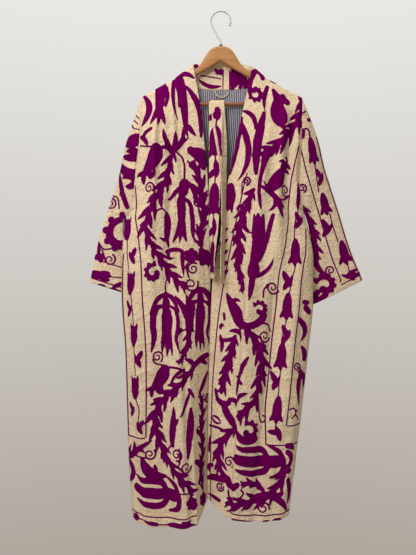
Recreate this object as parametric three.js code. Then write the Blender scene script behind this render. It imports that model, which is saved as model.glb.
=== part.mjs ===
// A long suzani kimono jacket, open at the front, hanging on a flat wooden hanger.
//
// Millimetres. +X is to the right as seen from the front, +Y runs to the back, +Z is up.
// The origin is the underside of the hook's crown, where a rail or a peg carries the hanger.
// "Right" and "left" in a piece's name are the wearer's, so the right front lies at negative X.
//
// Each cloth piece is a grid of points on its outer face. Pieces that are sewn together share
// the points of their seam, so their walls face each other across a gap of even width.
import * as THREE from "three";

// ---------------------------------------------------------------- driving dimensions
const CLOTH = 1.8; // embroidered cotton
const BAND_CLOTH = 2.6; // collar band, folded double
const LINING_CLOTH = 0.8;
const LINING_GAP = 0.3;
const SEAM_PULL = 0.2; // each piece ends this far short of a seam

const NECK_X = 122; // shoulder seam, neck end
const NECK_Z = -178;
const SHOULDER_SLOPE = 0.553; // drop for each millimetre out
const RIGHT_SHOULDER_X = -207; // shoulder seam, sleeve end
const LEFT_SHOULDER_X = 214;
const RIDGE_Y = 9.6; // half the thickness of the shoulder over the hanger's arm
const RIDGE_Z = 10.8; // height over which the cloth turns down on each side of the arm

const UNDERARM_SHARE = 0.272; // of the way from the shoulder to the hem
const HEM_SIDE_Z = { right: -1335, left: -1327 };
const HEM_SEAM_Z = { right: -1338, left: -1318 };
const HEM_BACK_RISE = 34; // the middle of the back hem hangs higher than its sides
const HEM_FRONT_DIP = 9; // and the middle of each front a little lower

const ARMHOLE_BULGE = 13;
const SIDE_ROLL_SHARE = 0.14; // share of a panel's width in which it rolls round to the side seam
const FRONT_ROLL = 15;
const BACK_ROLL = 17;

const RIDGE_ROWS = 3;
const ARMHOLE_STEPS = [0.07, 0.16, 0.27, 0.39, 0.52, 0.65, 0.77, 0.87, 0.94, 0.98, 1];
const SKIRT_ROWS = 13;
const FRONT_COLUMNS = 12;
const SHOULDER_COLUMNS = 5;
const NECK_STATIONS = 8; // collar sections from the shoulder seam to the centre back
const BAND_COLUMNS = 4;

const HANGER_HALF = 6; // half the wood's thickness
const HANGER_CLEAR = 3.5; // from the cloth's outer ridge down to the wood
const HANGER_END_X = 202;
const BAR_Z = -245;
const BAR_RADIUS = 5;
const BAR_HALF_LENGTH = 176.6;
const HOOK_RADIUS = 26; // middle of the wire
const HOOK_WIRE = 1.9;

const BELT_WIDTH = 37;
const BELT_CLOTH = 2.2;

// ---------------------------------------------------------------- tables
// A table is a list of rows under named columns. Its first column is the key, and a row
// between two others is read off a smooth curve that never swings past its neighbours.
function table(columns, rows) {
  const keys = rows.map((row) => row[0]);
  const upward = keys[keys.length - 1] > keys[0] ? 1 : -1;
  const slopes = columns.map((_, c) => tangents(keys, rows.map((row) => row[c])));
  return (key) => {
    const last = rows.length - 2;
    let i = 0;
    while (i < last && upward * (key - keys[i + 1]) > 0) i++;
    const span = keys[i + 1] - keys[i];
    const t = THREE.MathUtils.clamp((key - keys[i]) / span, 0, 1);
    const found = {};
    columns.forEach((name, c) => {
      const a = rows[i][c];
      const b = rows[i + 1][c];
      const ta = slopes[c][i] * span;
      const tb = slopes[c][i + 1] * span;
      found[name] =
        a * (1 + 2 * t) * (1 - t) ** 2 + ta * t * (1 - t) ** 2 + b * t * t * (3 - 2 * t) + tb * t * t * (t - 1);
    });
    return found;
  };
}

function tangents(keys, values) {
  const steps = keys.slice(1).map((k, i) => (values[i + 1] - values[i]) / (k - keys[i]));
  return keys.map((_, i) => {
    if (i === 0) return steps[0];
    if (i === keys.length - 1) return steps[i - 1];
    const [a, b] = [steps[i - 1], steps[i]];
    return a * b <= 0 ? 0 : (2 * a * b) / (a + b);
  });
}

// The outline of the body at each side: the armhole down to the underarm, then the side seam.
const SIDE = {
  right: table(
    ["z", "x", "y"],
    [
      [-225, -207, 0],
      [-335, -214, -2],
      [-406, -222, -4],
      [-465, -228, -6],
      [-500, -232, -8],
      [-527, -238, -10],
      [-560, -250, -11],
      [-600, -257, -12],
      [-640, -260, -12],
      [-750, -261, -13],
      [-900, -252, -11],
      [-1100, -246, -9],
      [-1335, -233, -8],
    ],
  ),
  left: table(
    ["z", "x", "y"],
    [
      [-229, 214, 0],
      [-339, 212, -2],
      [-445, 206, -5],
      [-527, 217, -10],
      [-590, 233, -12],
      [-656, 243, -13],
      [-770, 242, -13],
      [-895, 230, -11],
      [-1054, 213, -9],
      [-1180, 197, -8],
      [-1327, 180, -7],
    ],
  ),
};

// The collar band on each front. The seam joins it to the front panel; the edge is free.
const BAND_FRONT = {
  right: table(
    ["drop", "seam_x", "seam_y", "edge_x", "edge_y", "edge_z"],
    [
      [0, -122, 0, -74, 0, -138],
      [5, -122, -1, -74, -7, -142],
      [11, -122, -2, -73, -11, -150],
      [30, -121, -4, -69, -13, -172],
      [65, -118, -8, -61, -13, -214],
      [105, -115, -12, -54, -12, -262],
      [165, -110, -16, -46, -11, -332],
      [230, -105, -16, -38, -10, -405],
      [320, -100, -17, -32, -10, -496],
      [425, -98, -18, -29, -8, -602],
      [540, -94, -21, -29, -4, -716],
      [700, -86, -34, -33, 2, -870],
      [850, -78, -40, -37, 5, -1014],
      [1160, -61, -41, -43, 9, -1291],
    ],
  ),
  left: table(
    ["drop", "seam_x", "seam_y", "edge_x", "edge_y", "edge_z"],
    [
      [0, 122, 0, 83, 0, -143],
      [5, 122, -1, 83, -7, -146],
      [11, 122, -2, 82, -11, -153],
      [30, 123, -5, 78, -13, -176],
      [65, 121, -10, 70, -13, -212],
      [105, 117, -15, 60, -12, -258],
      [165, 108, -19, 44, -11, -332],
      [255, 96, -21, 24, -10, -428],
      [322, 85, -21, 11, -9, -496],
      [415, 68, -19, -1, -8, -590],
      [480, 57, -17, -12, -6, -656],
      [540, 48, -15, -22, -5, -716],
      [640, 40, -19, -27, -4, -818],
      [850, 28, -29, -33, -1, -1028],
      [1140, 12, -36, -36, 1, -1288],
    ],
  ),
};

// The band round the back of the neck, from the shoulder seam (0) to the centre back (1).
const CENTRE_BACK_X = 5;
const BAND_BACK = {
  right: table(
    ["share", "seam_x", "seam_y", "seam_z", "edge_x", "edge_y", "edge_z"],
    [
      [0, -122, 0, -178, -74, 0, -138],
      [0.12, -119, 11, -182, -74, 10, -137.5],
      [0.24, -109, 13, -187, -70, 15, -137],
      [0.5, -74, 15, -197, -48, 19, -137],
      [0.75, -34, 15.4, -202, -21, 21, -137],
      [1, CENTRE_BACK_X, 15.5, -203, CENTRE_BACK_X, 22, -137],
    ],
  ),
  left: table(
    ["share", "seam_x", "seam_y", "seam_z", "edge_x", "edge_y", "edge_z"],
    [
      [0, 122, 0, -178, 83, 0, -143],
      [0.12, 119, 11, -182, 82, 10, -142],
      [0.24, 110, 13, -187, 78, 15, -141],
      [0.5, 77, 15, -197, 55, 19, -139],
      [0.75, 41, 15.4, -202, 30, 21, -137.5],
      [1, CENTRE_BACK_X, 15.5, -203, CENTRE_BACK_X, 22, -137],
    ],
  ),
};

// Folds that run down a panel. across: 0 at the side seam and 1 at the other edge, at the fold's
// top and at its foot; out: how far the cloth stands out there; wide: half its width, as a share.
const FOLD_COLUMNS = ["z_top", "across_top", "z_foot", "across_foot", "out", "wide"];
const FOLDS = {
  front_right: [
    [-236, 0.42, -900, 0.5, 9, 0.17],
    [-260, 0.8, -1000, 0.72, -7, 0.14],
    [-620, 0.2, -1500, 0.24, 8, 0.16],
    [-760, 0.96, -1500, 0.93, 9, 0.2],
    [-800, 0.55, -1500, 0.6, -8, 0.15],
    [-520, 0.05, -980, 0.1, -5, 0.1],
  ],
  front_left: [
    [-236, 0.5, -760, 0.6, 8, 0.15],
    [-250, 0.28, -620, 0.36, -6, 0.13],
    [-380, 0.8, -1500, 0.86, 13, 0.2],
    [-560, 0.22, -1250, 0.3, 8, 0.16],
    [-640, 0.5, -1500, 0.56, -8, 0.16],
    [-900, 0.12, -1500, 0.16, 6, 0.14],
  ],
  back: [
    [-250, 0.2, -1100, 0.23, 7, 0.07],
    [-300, 0.33, -1500, 0.36, -8, 0.08],
    [-420, 0.5, -1500, 0.49, 13, 0.09],
    [-300, 0.66, -1500, 0.63, -7, 0.08],
    [-260, 0.8, -1200, 0.77, 8, 0.07],
    [-860, 0.88, -1500, 0.9, -7, 0.07],
    [-900, 0.1, -1500, 0.1, -6, 0.06],
  ],
};

// A sleeve from the armhole (0) to the cuff (1): its outer edge, its underside and half its depth.
const SLEEVE_COLUMNS = ["share", "top_x", "top_y", "top_z", "under_x", "under_y", "under_z", "half"];
const SLEEVE = {
  right: table(SLEEVE_COLUMNS, [
    [0, -207, 0, -225, -238, -10, -527, 20],
    [0.16, -236, 4, -302, -259, 6, -558, 21],
    [0.28, -254, 7, -358, -260, 15, -590, 20],
    [0.42, -270, 10, -429, -252, 26, -622, 18],
    [0.62, -302, 15, -527, -233, 37, -668, 16],
    [0.83, -333, 19, -628, -201, 43, -724, 15],
    [1, -350, 20, -716, -170, 47, -774, 15],
  ]),
  left: table(SLEEVE_COLUMNS, [
    [0, 214, 0, -229, 217, -10, -527, 20],
    [0.14, 243, 3, -296, 231, 1, -560, 21],
    [0.24, 259, 5, -341, 237, 10, -584, 20],
    [0.37, 275, 8, -405, 240, 20, -615, 19],
    [0.61, 314, 13, -524, 236, 31, -680, 17],
    [0.82, 346, 17, -624, 227, 38, -738, 15],
    [1, 381, 19, -710, 212, 42, -795, 15],
  ]),
};
const SLEEVE_RINGS = 9;

// ---------------------------------------------------------------- shape functions
const mix = (a, b, t) => a + (b - a) * t;
const rollBelowUnderarm = (share) => smooth((share - 0.7 * UNDERARM_SHARE) / (0.8 * UNDERARM_SHARE));
const quarterRound = (t) => Math.sqrt(1 - (1 - Math.min(Math.max(t, 0), 1)) ** 2);
const smooth = (t) => {
  const c = THREE.MathUtils.clamp(t, 0, 1);
  return c * c * (3 - 2 * c);
};
const shoulderZ = (x) => NECK_Z - SHOULDER_SLOPE * (Math.abs(x) - NECK_X);
const shoulderX = { right: RIGHT_SHOULDER_X, left: LEFT_SHOULDER_X };

// The share of each row on the way from shoulder to hem, shared by fronts, back and armholes.
function rowShares() {
  const length = shoulderZ(RIGHT_SHOULDER_X) - HEM_SIDE_Z.right;
  const shares = [];
  for (let k = 0; k <= RIDGE_ROWS; k++) shares.push((RIDGE_Z * (1 - Math.cos((k / RIDGE_ROWS) * (Math.PI / 2)))) / length);
  const ridge = shares[RIDGE_ROWS];
  for (const step of ARMHOLE_STEPS) shares.push(mix(ridge, UNDERARM_SHARE, step));
  for (let k = 1; k <= SKIRT_ROWS; k++) shares.push(mix(UNDERARM_SHARE, 1, k / SKIRT_ROWS));
  return shares;
}
const ROWS = rowShares();
const UNDERARM_ROW = RIDGE_ROWS + ARMHOLE_STEPS.length;

// How far folds push a point of a panel out, at a share across and a height.
function foldsAt(folds, across, z) {
  let out = 0;
  for (const row of folds) {
    const fold = Object.fromEntries(FOLD_COLUMNS.map((name, c) => [name, row[c]]));
    const along = (z - fold.z_top) / (fold.z_foot - fold.z_top);
    if (along <= 0 || along >= 1) continue;
    const centre = mix(fold.across_top, fold.across_foot, along);
    const away = (across - centre) / fold.wide;
    const fade = smooth(along * 5) * smooth((1 - along) * 3);
    out += fold.out * fade * Math.exp(-away * away * 2);
  }
  return out;
}

// A point on the body's side line at a row, in front of (-1) or behind (+1) the sleeve's opening.
function sidePoint(side, share, face) {
  const top = shoulderZ(shoulderX[side]);
  const z = mix(top, HEM_SIDE_Z[side], share);
  const { x, y } = SIDE[side](z);
  const along = share / UNDERARM_SHARE;
  if (along >= 1) return new THREE.Vector3(x, y, z);
  const close = along > 0.78 ? Math.sqrt(Math.max(0, 1 - ((along - 0.78) / 0.22) ** 2)) : 1;
  const half = (RIDGE_Y * quarterRound((top - z) / RIDGE_Z) + ARMHOLE_BULGE * Math.sin(Math.PI * along)) * close;
  return new THREE.Vector3(x, y + face * half, z);
}

function seamPoint(side, share) {
  const z = mix(NECK_Z, HEM_SEAM_Z[side], share);
  const { seam_x, seam_y } = BAND_FRONT[side](NECK_Z - z);
  return new THREE.Vector3(seam_x, seam_y - RIDGE_Y * quarterRound((NECK_Z - z) / RIDGE_Z), z);
}

function edgePoint(side, share) {
  const { edge_x, edge_y, edge_z } = BAND_FRONT[side](share * (NECK_Z - HEM_SEAM_Z[side]));
  return new THREE.Vector3(edge_x, edge_y, edge_z);
}

// A point of a front panel: across 0 at the side, 1 at the band's seam.
function frontPoint(side, across, share) {
  const a = sidePoint(side, share, -1);
  const b = seamPoint(side, share);
  const p = a.clone().lerp(b, across);
  if (across === 0 || across === 1) return p;
  const drop = shoulderZ(p.x) - p.z;
  const below = rollBelowUnderarm(share);
  const inside = Math.sin(Math.PI * across);
  const fullness = 6 * smooth(drop / 120) * inside;
  const roll = FRONT_ROLL * below * quarterRound(across / SIDE_ROLL_SHARE) * (1 - smooth((across - 0.5) / 0.5));
  p.y -= fullness + roll + foldsAt(FOLDS["front_" + side], across, p.z) * smooth(inside * 2.5);
  p.z -= HEM_FRONT_DIP * inside * share ** 3;
  return p;
}

// The top edge of the back: shoulder, neck curve, shoulder.
function backTop() {
  const points = [];
  for (let k = 0; k < SHOULDER_COLUMNS; k++) {
    const x = mix(RIGHT_SHOULDER_X, -NECK_X, k / SHOULDER_COLUMNS);
    points.push(new THREE.Vector3(x, 0, shoulderZ(x)));
  }
  for (let k = 0; k <= NECK_STATIONS; k++) points.push(bandBack("right", k / NECK_STATIONS).seam);
  for (let k = NECK_STATIONS - 1; k >= 0; k--) points.push(bandBack("left", k / NECK_STATIONS).seam);
  for (let k = 1; k <= SHOULDER_COLUMNS; k++) {
    const x = mix(NECK_X, LEFT_SHOULDER_X, k / SHOULDER_COLUMNS);
    points.push(new THREE.Vector3(x, 0, shoulderZ(x)));
  }
  return points;
}

function bandBack(side, share) {
  const at = BAND_BACK[side](share);
  return {
    seam: new THREE.Vector3(at.seam_x, at.seam_y, at.seam_z),
    edge: new THREE.Vector3(at.edge_x, at.edge_y, at.edge_z),
  };
}

function backPoint(top, share) {
  const across = (top.x - RIGHT_SHOULDER_X) / (LEFT_SHOULDER_X - RIGHT_SHOULDER_X);
  const a = sidePoint("right", share, 1);
  const b = sidePoint("left", share, 1);
  if (share === 0) return top.clone();
  if (across <= 0.0001) return a;
  if (across >= 0.9999) return b;
  const inside = Math.sin(Math.PI * across);
  const hem = mix(HEM_SIDE_Z.right, HEM_SIDE_Z.left, across) + HEM_BACK_RISE * smooth(inside * 1.2);
  const z = mix(top.z, hem, share);
  const ridge = RIDGE_Y * quarterRound((top.z - z) / RIDGE_Z);
  const below = rollBelowUnderarm(share);
  const nearSide = Math.min(across, 1 - across) / 0.2;
  const sideY = mix(a.y, b.y, across);
  const middleY = 15.5 + 10 * smooth((top.z - z) / 700);
  const flat = mix(sideY + BACK_ROLL * below * quarterRound(nearSide * 1.6), middleY, smooth(nearSide));
  const settle = smooth((top.z - z) / 60);
  const y = mix(Math.max(top.y, ridge), flat, settle) + foldsAt(FOLDS.back, across, z) * smooth(inside * 2.5) * settle;
  return new THREE.Vector3(mix(a.x, b.x, across), y, z);
}

// ---------------------------------------------------------------- cloth pieces as grids
const pieces = new Map();
const material = {
  suzani: new THREE.MeshStandardMaterial({ color: 0xcdb78f, roughness: 0.9, metalness: 0 }),
  lining: new THREE.MeshStandardMaterial({ color: 0x6b6678, roughness: 0.85, metalness: 0 }),
  wood: new THREE.MeshStandardMaterial({ color: 0xbb8a5a, roughness: 0.5, metalness: 0 }),
  steel: new THREE.MeshStandardMaterial({ color: 0xc4c6c8, roughness: 0.25, metalness: 1 }),
};

// rows[i][j] are points on the outer face. facing is 1 where (down the rows) x (along a row)
// points out of the garment, and -1 where it points in. seams names the edges that are sewn.
function addCloth(name, rows, { facing, wall, around = false, seams = [], cover = material.suzani }) {
  pieces.set(name, { rows, facing, wall, around, seams, cover, normals: gridNormals(rows, facing, around) });
}

function gridNormals(rows, facing, around) {
  const [m, n] = [rows.length, rows[0].length];
  return rows.map((row, i) =>
    row.map((_, j) => {
      const left = around ? (j + n - 1) % n : Math.max(j - 1, 0);
      const right = around ? (j + 1) % n : Math.min(j + 1, n - 1);
      const down = rows[Math.min(i + 1, m - 1)][j].clone().sub(rows[Math.max(i - 1, 0)][j]);
      const along = row[right].clone().sub(row[left]);
      return down.cross(along).normalize().multiplyScalar(facing);
    }),
  );
}

const keyOf = (p) => [p.x, p.y, p.z].map((v) => Math.round(v * 20)).join();

// Round an armhole the walls stand square to the opening's own curve, which turns sharply
// at the underarm, where the sleeve and the body lie almost face to face.
const armholeDirections = new Map();
function setArmholeDirections(ring) {
  const n = ring.length;
  ring.forEach((p, j) => {
    const along = ring[(j + 1) % n].clone().sub(ring[(j + n - 1) % n]);
    armholeDirections.set(keyOf(p), new THREE.Vector3(-1, 0, 0).cross(along).normalize());
  });
}

// Where pieces share a point, their walls take one common direction.
function shareWallDirections() {
  const sums = new Map();
  for (const { rows, normals } of pieces.values())
    rows.forEach((row, i) =>
      row.forEach((p, j) => {
        const key = keyOf(p);
        if (!sums.has(key)) sums.set(key, new THREE.Vector3());
        sums.get(key).add(normals[i][j]);
      }),
    );
  const atShoulder = (p) => Math.abs(p.y) < 0.01 && p.z > shoulderZ(p.x) - SEAM_PULL;
  for (const { rows, normals } of pieces.values())
    rows.forEach((row, i) =>
      row.forEach((p, j) => {
        normals[i][j].copy(armholeDirections.get(keyOf(p)) ?? sums.get(keyOf(p)));
        if (atShoulder(p)) normals[i][j].y = 0;
        normals[i][j].normalize();
      }),
    );
}

// Each sewn edge stops short of the seam, towards the piece's own next row or column.
function pulled(rows, seams) {
  const [m, n] = [rows.length, rows[0].length];
  const out = rows.map((row) => row.map((p) => p.clone()));
  const pull = (i, j, k, l) => {
    const step = rows[k][l].clone().sub(rows[i][j]);
    if (step.length() > 0) out[i][j].add(step.setLength(SEAM_PULL));
  };
  for (const seam of seams) {
    if (seam === "top") for (let j = 0; j < n; j++) pull(0, j, 1, j);
    if (seam === "foot") for (let j = 0; j < n; j++) pull(m - 1, j, m - 2, j);
    if (seam === "start") for (let i = 0; i < m; i++) pull(i, 0, i, 1);
    if (seam === "end") for (let i = 0; i < m; i++) pull(i, n - 1, i, n - 2);
  }
  return out;
}

// One closed solid: the outer face, the inner face and the wall's edges.
function clothSolid({ rows, normals, wall, around, seams, inset = 0 }) {
  const outer = pulled(rows, seams);
  const [m, n] = [rows.length, rows[0].length];
  const positions = [];
  outer.forEach((row, i) => row.forEach((p, j) => positions.push(...p.clone().addScaledVector(normals[i][j], -inset).toArray())));
  outer.forEach((row, i) =>
    row.forEach((p, j) => positions.push(...p.clone().addScaledVector(normals[i][j], -inset - wall).toArray())),
  );
  const index = [];
  const quad = (a, b, c, d) => index.push(a, b, c, a, c, d);
  // Sewn neighbours must split each wall edge along the same diagonal: from the higher outer point.
  const height = (a) => positions[a * 3 + 2];
  const rim = (a, b, c, d) => {
    const other = b < m * n ? b : d;
    if (height(a) >= height(other)) quad(a, b, c, d);
    else quad(b, c, d, a);
  };
  const at = (i, j, inner) => (inner ? m * n : 0) + i * n + (j % n);
  const columns = around ? n : n - 1;
  for (let i = 0; i < m - 1; i++)
    for (let j = 0; j < columns; j++) {
      quad(at(i, j), at(i + 1, j), at(i + 1, j + 1), at(i, j + 1));
      quad(at(i, j, 1), at(i, j + 1, 1), at(i + 1, j + 1, 1), at(i + 1, j, 1));
    }
  for (let j = 0; j < columns; j++) {
    rim(at(0, j), at(0, j + 1), at(0, j + 1, 1), at(0, j, 1));
    rim(at(m - 1, j), at(m - 1, j, 1), at(m - 1, j + 1, 1), at(m - 1, j + 1));
  }
  if (!around)
    for (let i = 0; i < m - 1; i++) {
      rim(at(i, 0), at(i, 0, 1), at(i + 1, 0, 1), at(i + 1, 0));
      rim(at(i, n - 1), at(i + 1, n - 1), at(i + 1, n - 1, 1), at(i, n - 1, 1));
    }
  return facingOut(positions, index);
}

function facingOut(positions, index) {
  let volume = 0;
  const corner = (k) => new THREE.Vector3().fromArray(positions, index[k] * 3);
  for (let k = 0; k < index.length; k += 3) volume += corner(k).dot(corner(k + 1).cross(corner(k + 2)));
  if (volume < 0) index.reverse();
  const geometry = new THREE.BufferGeometry();
  geometry.setAttribute("position", new THREE.Float32BufferAttribute(positions, 3));
  geometry.setIndex(index);
  return geometry;
}

// ---------------------------------------------------------------- the garment's pieces
function makeFront(side) {
  const rows = ROWS.map((share) =>
    Array.from({ length: FRONT_COLUMNS + 1 }, (_, j) => frontPoint(side, j / FRONT_COLUMNS, share)),
  );
  addCloth("front_" + side, rows, { facing: side === "right" ? 1 : -1, wall: CLOTH, seams: ["top", "start", "end"] });
}

function makeBack() {
  const top = backTop();
  const rows = ROWS.map((share) => top.map((point) => backPoint(point, share)));
  addCloth("back", rows, { facing: -1, wall: CLOTH, seams: ["top", "start", "end"] });
}

// The band runs from the front hem over the shoulder to the centre back, seam (0) to edge (1).
function makeCollar(side) {
  const line = (seam, edge) =>
    Array.from({ length: BAND_COLUMNS }, (_, j) => {
      const across = j / (BAND_COLUMNS - 1);
      return seam.clone().lerp(edge, across);
    });
  const rows = [...ROWS].reverse().map((share) => line(seamPoint(side, share), edgePoint(side, share)));
  for (let k = 1; k <= NECK_STATIONS; k++) {
    const { seam, edge } = bandBack(side, k / NECK_STATIONS);
    rows.push(line(seam, edge));
  }
  addCloth("collar_" + side, rows, { facing: side === "right" ? -1 : 1, wall: BAND_CLOTH, seams: ["start", "foot"] });
}

// A sleeve's first ring is the armhole, down the front of it and up the back.
function makeSleeve(side) {
  const loop = [];
  for (let i = 0; i <= UNDERARM_ROW; i++) loop.push({ share: ROWS[i], face: -1 });
  for (let i = UNDERARM_ROW - 1; i > 0; i--) loop.push({ share: ROWS[i], face: 1 });
  const start = SLEEVE[side](0);
  const rings = [];
  for (let k = 0; k <= SLEEVE_RINGS; k++) {
    const along = k / SLEEVE_RINGS;
    const at = SLEEVE[side](along);
    rings.push(
      loop.map(({ share, face }) => {
        const under = share / UNDERARM_SHARE;
        const hole = sidePoint(side, share, face);
        if (k === 0) return hole;
        const span = (a, b) => mix(a, b, under);
        const left = 1 - smooth(along * 1.15);
        const x = span(at.top_x, at.under_x) + (hole.x - span(start.top_x, start.under_x)) * left;
        const z = span(at.top_z, at.under_z) + (hole.z - span(start.top_z, start.under_z)) * left;
        const round = Math.sin(Math.PI * under) ** 0.6;
        const tube = span(at.top_y, at.under_y) + face * at.half * round;
        const holeY = hole.y + span(at.top_y, at.under_y) - span(start.top_y, start.under_y);
        return new THREE.Vector3(x, mix(tube, holeY, 1 - smooth(along * 3)), z);
      }),
    );
  }
  setArmholeDirections(rings[0]);
  addCloth("sleeve_" + side, rings, {
    facing: side === "right" ? 1 : -1,
    wall: CLOTH,
    around: true,
    seams: ["top"],
  });
}

// The striped lining lies inside the back, from under the collar to just above the hem.
const LINING = { first_row: 1, last_row: 24, first_column: 4, last_column: 22, top_gap: 1.2 };
function addLining(group) {
  const back = pieces.get("back");
  const cut = (grid) => grid.slice(LINING.first_row, LINING.last_row + 1).map((row) => row.slice(LINING.first_column, LINING.last_column + 1));
  const rows = cut(back.rows);
  const solid = clothSolid({
    rows,
    normals: cut(back.normals),
    wall: LINING_CLOTH,
    inset: CLOTH + LINING_GAP,
    around: false,
    seams: [],
  });
  group.add(named("lining_back", solid, material.lining));
}

// ---------------------------------------------------------------- belt, loop and hanger
// The belt is folded in half and hung over the bar by its middle. Its path starts at the end of
// the front tail, climbs over the bar, hangs behind it, turns up again and comes back over the
// bar to the second tail. turn is how far, in degrees, the strip is twisted out of the front view.
const BELT_PATH = [
  // x, y, z, turn
  [-25.5, -35, -706, -76],
  [-24, -35, -660, -76],
  [-22.5, -34, -620, -66],
  [-21, -32, -570, -48],
  [-18.5, -29, -500, -38],
  [-16, -25, -410, -26],
  [-14.5, -20, -340, -14],
  [-13.5, -14, -285, -4],
  [-13.5, -10.4, -256, 0],
  [-13.5, -9.6, -245, 0],
  [-13.5, -7, -237, 0],
  [-13.5, 0, -233.4, 0],
  [-13.5, 7, -237, 0],
  [-13.5, 9.6, -245, 0],
  [-13, 9.8, -262, 0],
  [-12, 9.8, -330, 0],
  [-11, 10.3, -450, 0],
  [-10, 11, -560, 0],
  [-10, 11.5, -640, 0],
  [-10, 10.4, -646, 0],
  [-10, 7.5, -649, 0],
  [-10, 4.6, -646, 0],
  [-10, 3.5, -640, 0],
  [-9, 4.5, -560, 0],
  [-7, 6, -450, 0],
  [-5, 6.8, -330, 0],
  [-4, 6.8, -262, 0],
  [-4, 6.5, -245, 0],
  [-4, 4.6, -239.6, 0],
  [-4, 0, -237.2, 0],
  [-4, -4.6, -239.6, 0],
  [-4, -6.5, -245, 0],
  [-4, -7, -262, 2],
  [-2.5, -9, -300, 12],
  [0.5, -14, -350, 32],
  [3.5, -21, -410, 54],
  [5, -27, -480, 68],
  [4, -32, -560, 72],
  [1.5, -35, -640, 73],
  [1, -35, -719, 73],
];

function makeBelt() {
  const centres = BELT_PATH.map(([x, y, z]) => new THREE.Vector3(x, y, z));
  const last = centres.length - 1;
  const rings = centres.map((centre, i) => {
    const turn = THREE.MathUtils.degToRad(BELT_PATH[i][3]);
    const across = new THREE.Vector3(Math.cos(turn), Math.sin(turn), 0);
    const along = centres[Math.min(i + 1, last)].clone().sub(centres[Math.max(i - 1, 0)]).normalize();
    const through = along.cross(across).normalize();
    const corner = (u, v) =>
      centre
        .clone()
        .addScaledVector(across, (u * BELT_WIDTH) / 2)
        .addScaledVector(through, (v * BELT_CLOTH) / 2);
    return [corner(-1, -1), corner(0, -1), corner(1, -1), corner(1, 1), corner(0, 1), corner(-1, 1)];
  });
  return loft(rings);
}

// A closed solid through rings of equal counts, capped by a fan at each end.
function loft(rings) {
  const n = rings[0].length;
  const positions = rings.flat().flatMap((p) => p.toArray());
  const index = [];
  for (let i = 0; i < rings.length - 1; i++)
    for (let j = 0; j < n; j++) {
      const [a, b] = [i * n + j, i * n + ((j + 1) % n)];
      index.push(a, b, b + n, a, b + n, a + n);
    }
  const end = (rings.length - 1) * n;
  for (let j = 1; j < n - 1; j++) index.push(0, j + 1, j, end, end + j, end + j + 1);
  return facingOut(positions, index);
}

// The sewn loop under the collar seam.
const LOOP = { left_x: -15, right_x: 21, top_z: -206, sag: 18, y: 10.1, radius: 1.5 };
function makeLoop() {
  const middle = (LOOP.left_x + LOOP.right_x) / 2;
  const low = LOOP.top_z - LOOP.sag;
  const path = new THREE.CatmullRomCurve3([
    new THREE.Vector3(LOOP.left_x, LOOP.y, LOOP.top_z),
    new THREE.Vector3(LOOP.left_x + 4, LOOP.y, mix(LOOP.top_z, low, 0.6)),
    new THREE.Vector3(middle, LOOP.y, low),
    new THREE.Vector3(LOOP.right_x - 4, LOOP.y, mix(LOOP.top_z, low, 0.6)),
    new THREE.Vector3(LOOP.right_x, LOOP.y, LOOP.top_z),
  ]);
  return new THREE.ExtrudeGeometry(disc(LOOP.radius, 8), { steps: 16, extrudePath: path, bevelEnabled: false });
}

const disc = (radius, sides) =>
  new THREE.Shape(
    Array.from({ length: sides }, (_, k) => {
      const angle = (k / sides) * 2 * Math.PI;
      return new THREE.Vector2(radius * Math.cos(angle), radius * Math.sin(angle));
    }),
  );

// The wood's outline from its middle out to one end.
const WOOD = table(
  ["x", "top", "foot"],
  [
    [0, -90, -132.5],
    [12, -92, -139],
    [25, -98, -147],
    [38, -113, -154.5],
    [48, -130, -160],
    [60, -147, -167],
    [78, -157, -177.5],
    [NECK_X, shoulderZ(NECK_X) - HANGER_CLEAR, -203],
    [160, shoulderZ(160) - HANGER_CLEAR, -225],
    [177, shoulderZ(177) - HANGER_CLEAR, -236],
    [178, shoulderZ(178) - HANGER_CLEAR, -253],
    [196, shoulderZ(196) - HANGER_CLEAR, -254],
    [HANGER_END_X, shoulderZ(HANGER_END_X) - HANGER_CLEAR - 4, -250],
  ],
);
const WOOD_STATIONS = [0, 8, 16, 25, 32, 38, 43, 48, 54, 60, 68, 78, 100, NECK_X, 145, 162, 177, 178, 188, 196, HANGER_END_X];
const WOOD_ROUND = 7;

function makeWood() {
  const stations = [...WOOD_STATIONS.slice(1).reverse().map((x) => -x), ...WOOD_STATIONS];
  const rings = stations.map((x) => {
    const { top, foot } = WOOD(Math.abs(x));
    const ring = [];
    for (const [z, way] of [
      [top, 1],
      [foot, -1],
    ])
      for (let k = 0; k <= 4; k++) {
        const angle = (k / 4) * Math.PI;
        const y = way * HANGER_HALF * Math.cos(angle);
        ring.push(new THREE.Vector3(x, y, z + way * WOOD_ROUND * (Math.sin(angle) - 1)));
      }
    return ring;
  });
  return loft(rings);
}

function makeBar() {
  const bar = new THREE.CylinderGeometry(BAR_RADIUS, BAR_RADIUS, BAR_HALF_LENGTH * 2, 14);
  bar.rotateZ(Math.PI / 2);
  bar.translate(0, 0, BAR_Z);
  return bar;
}

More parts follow.
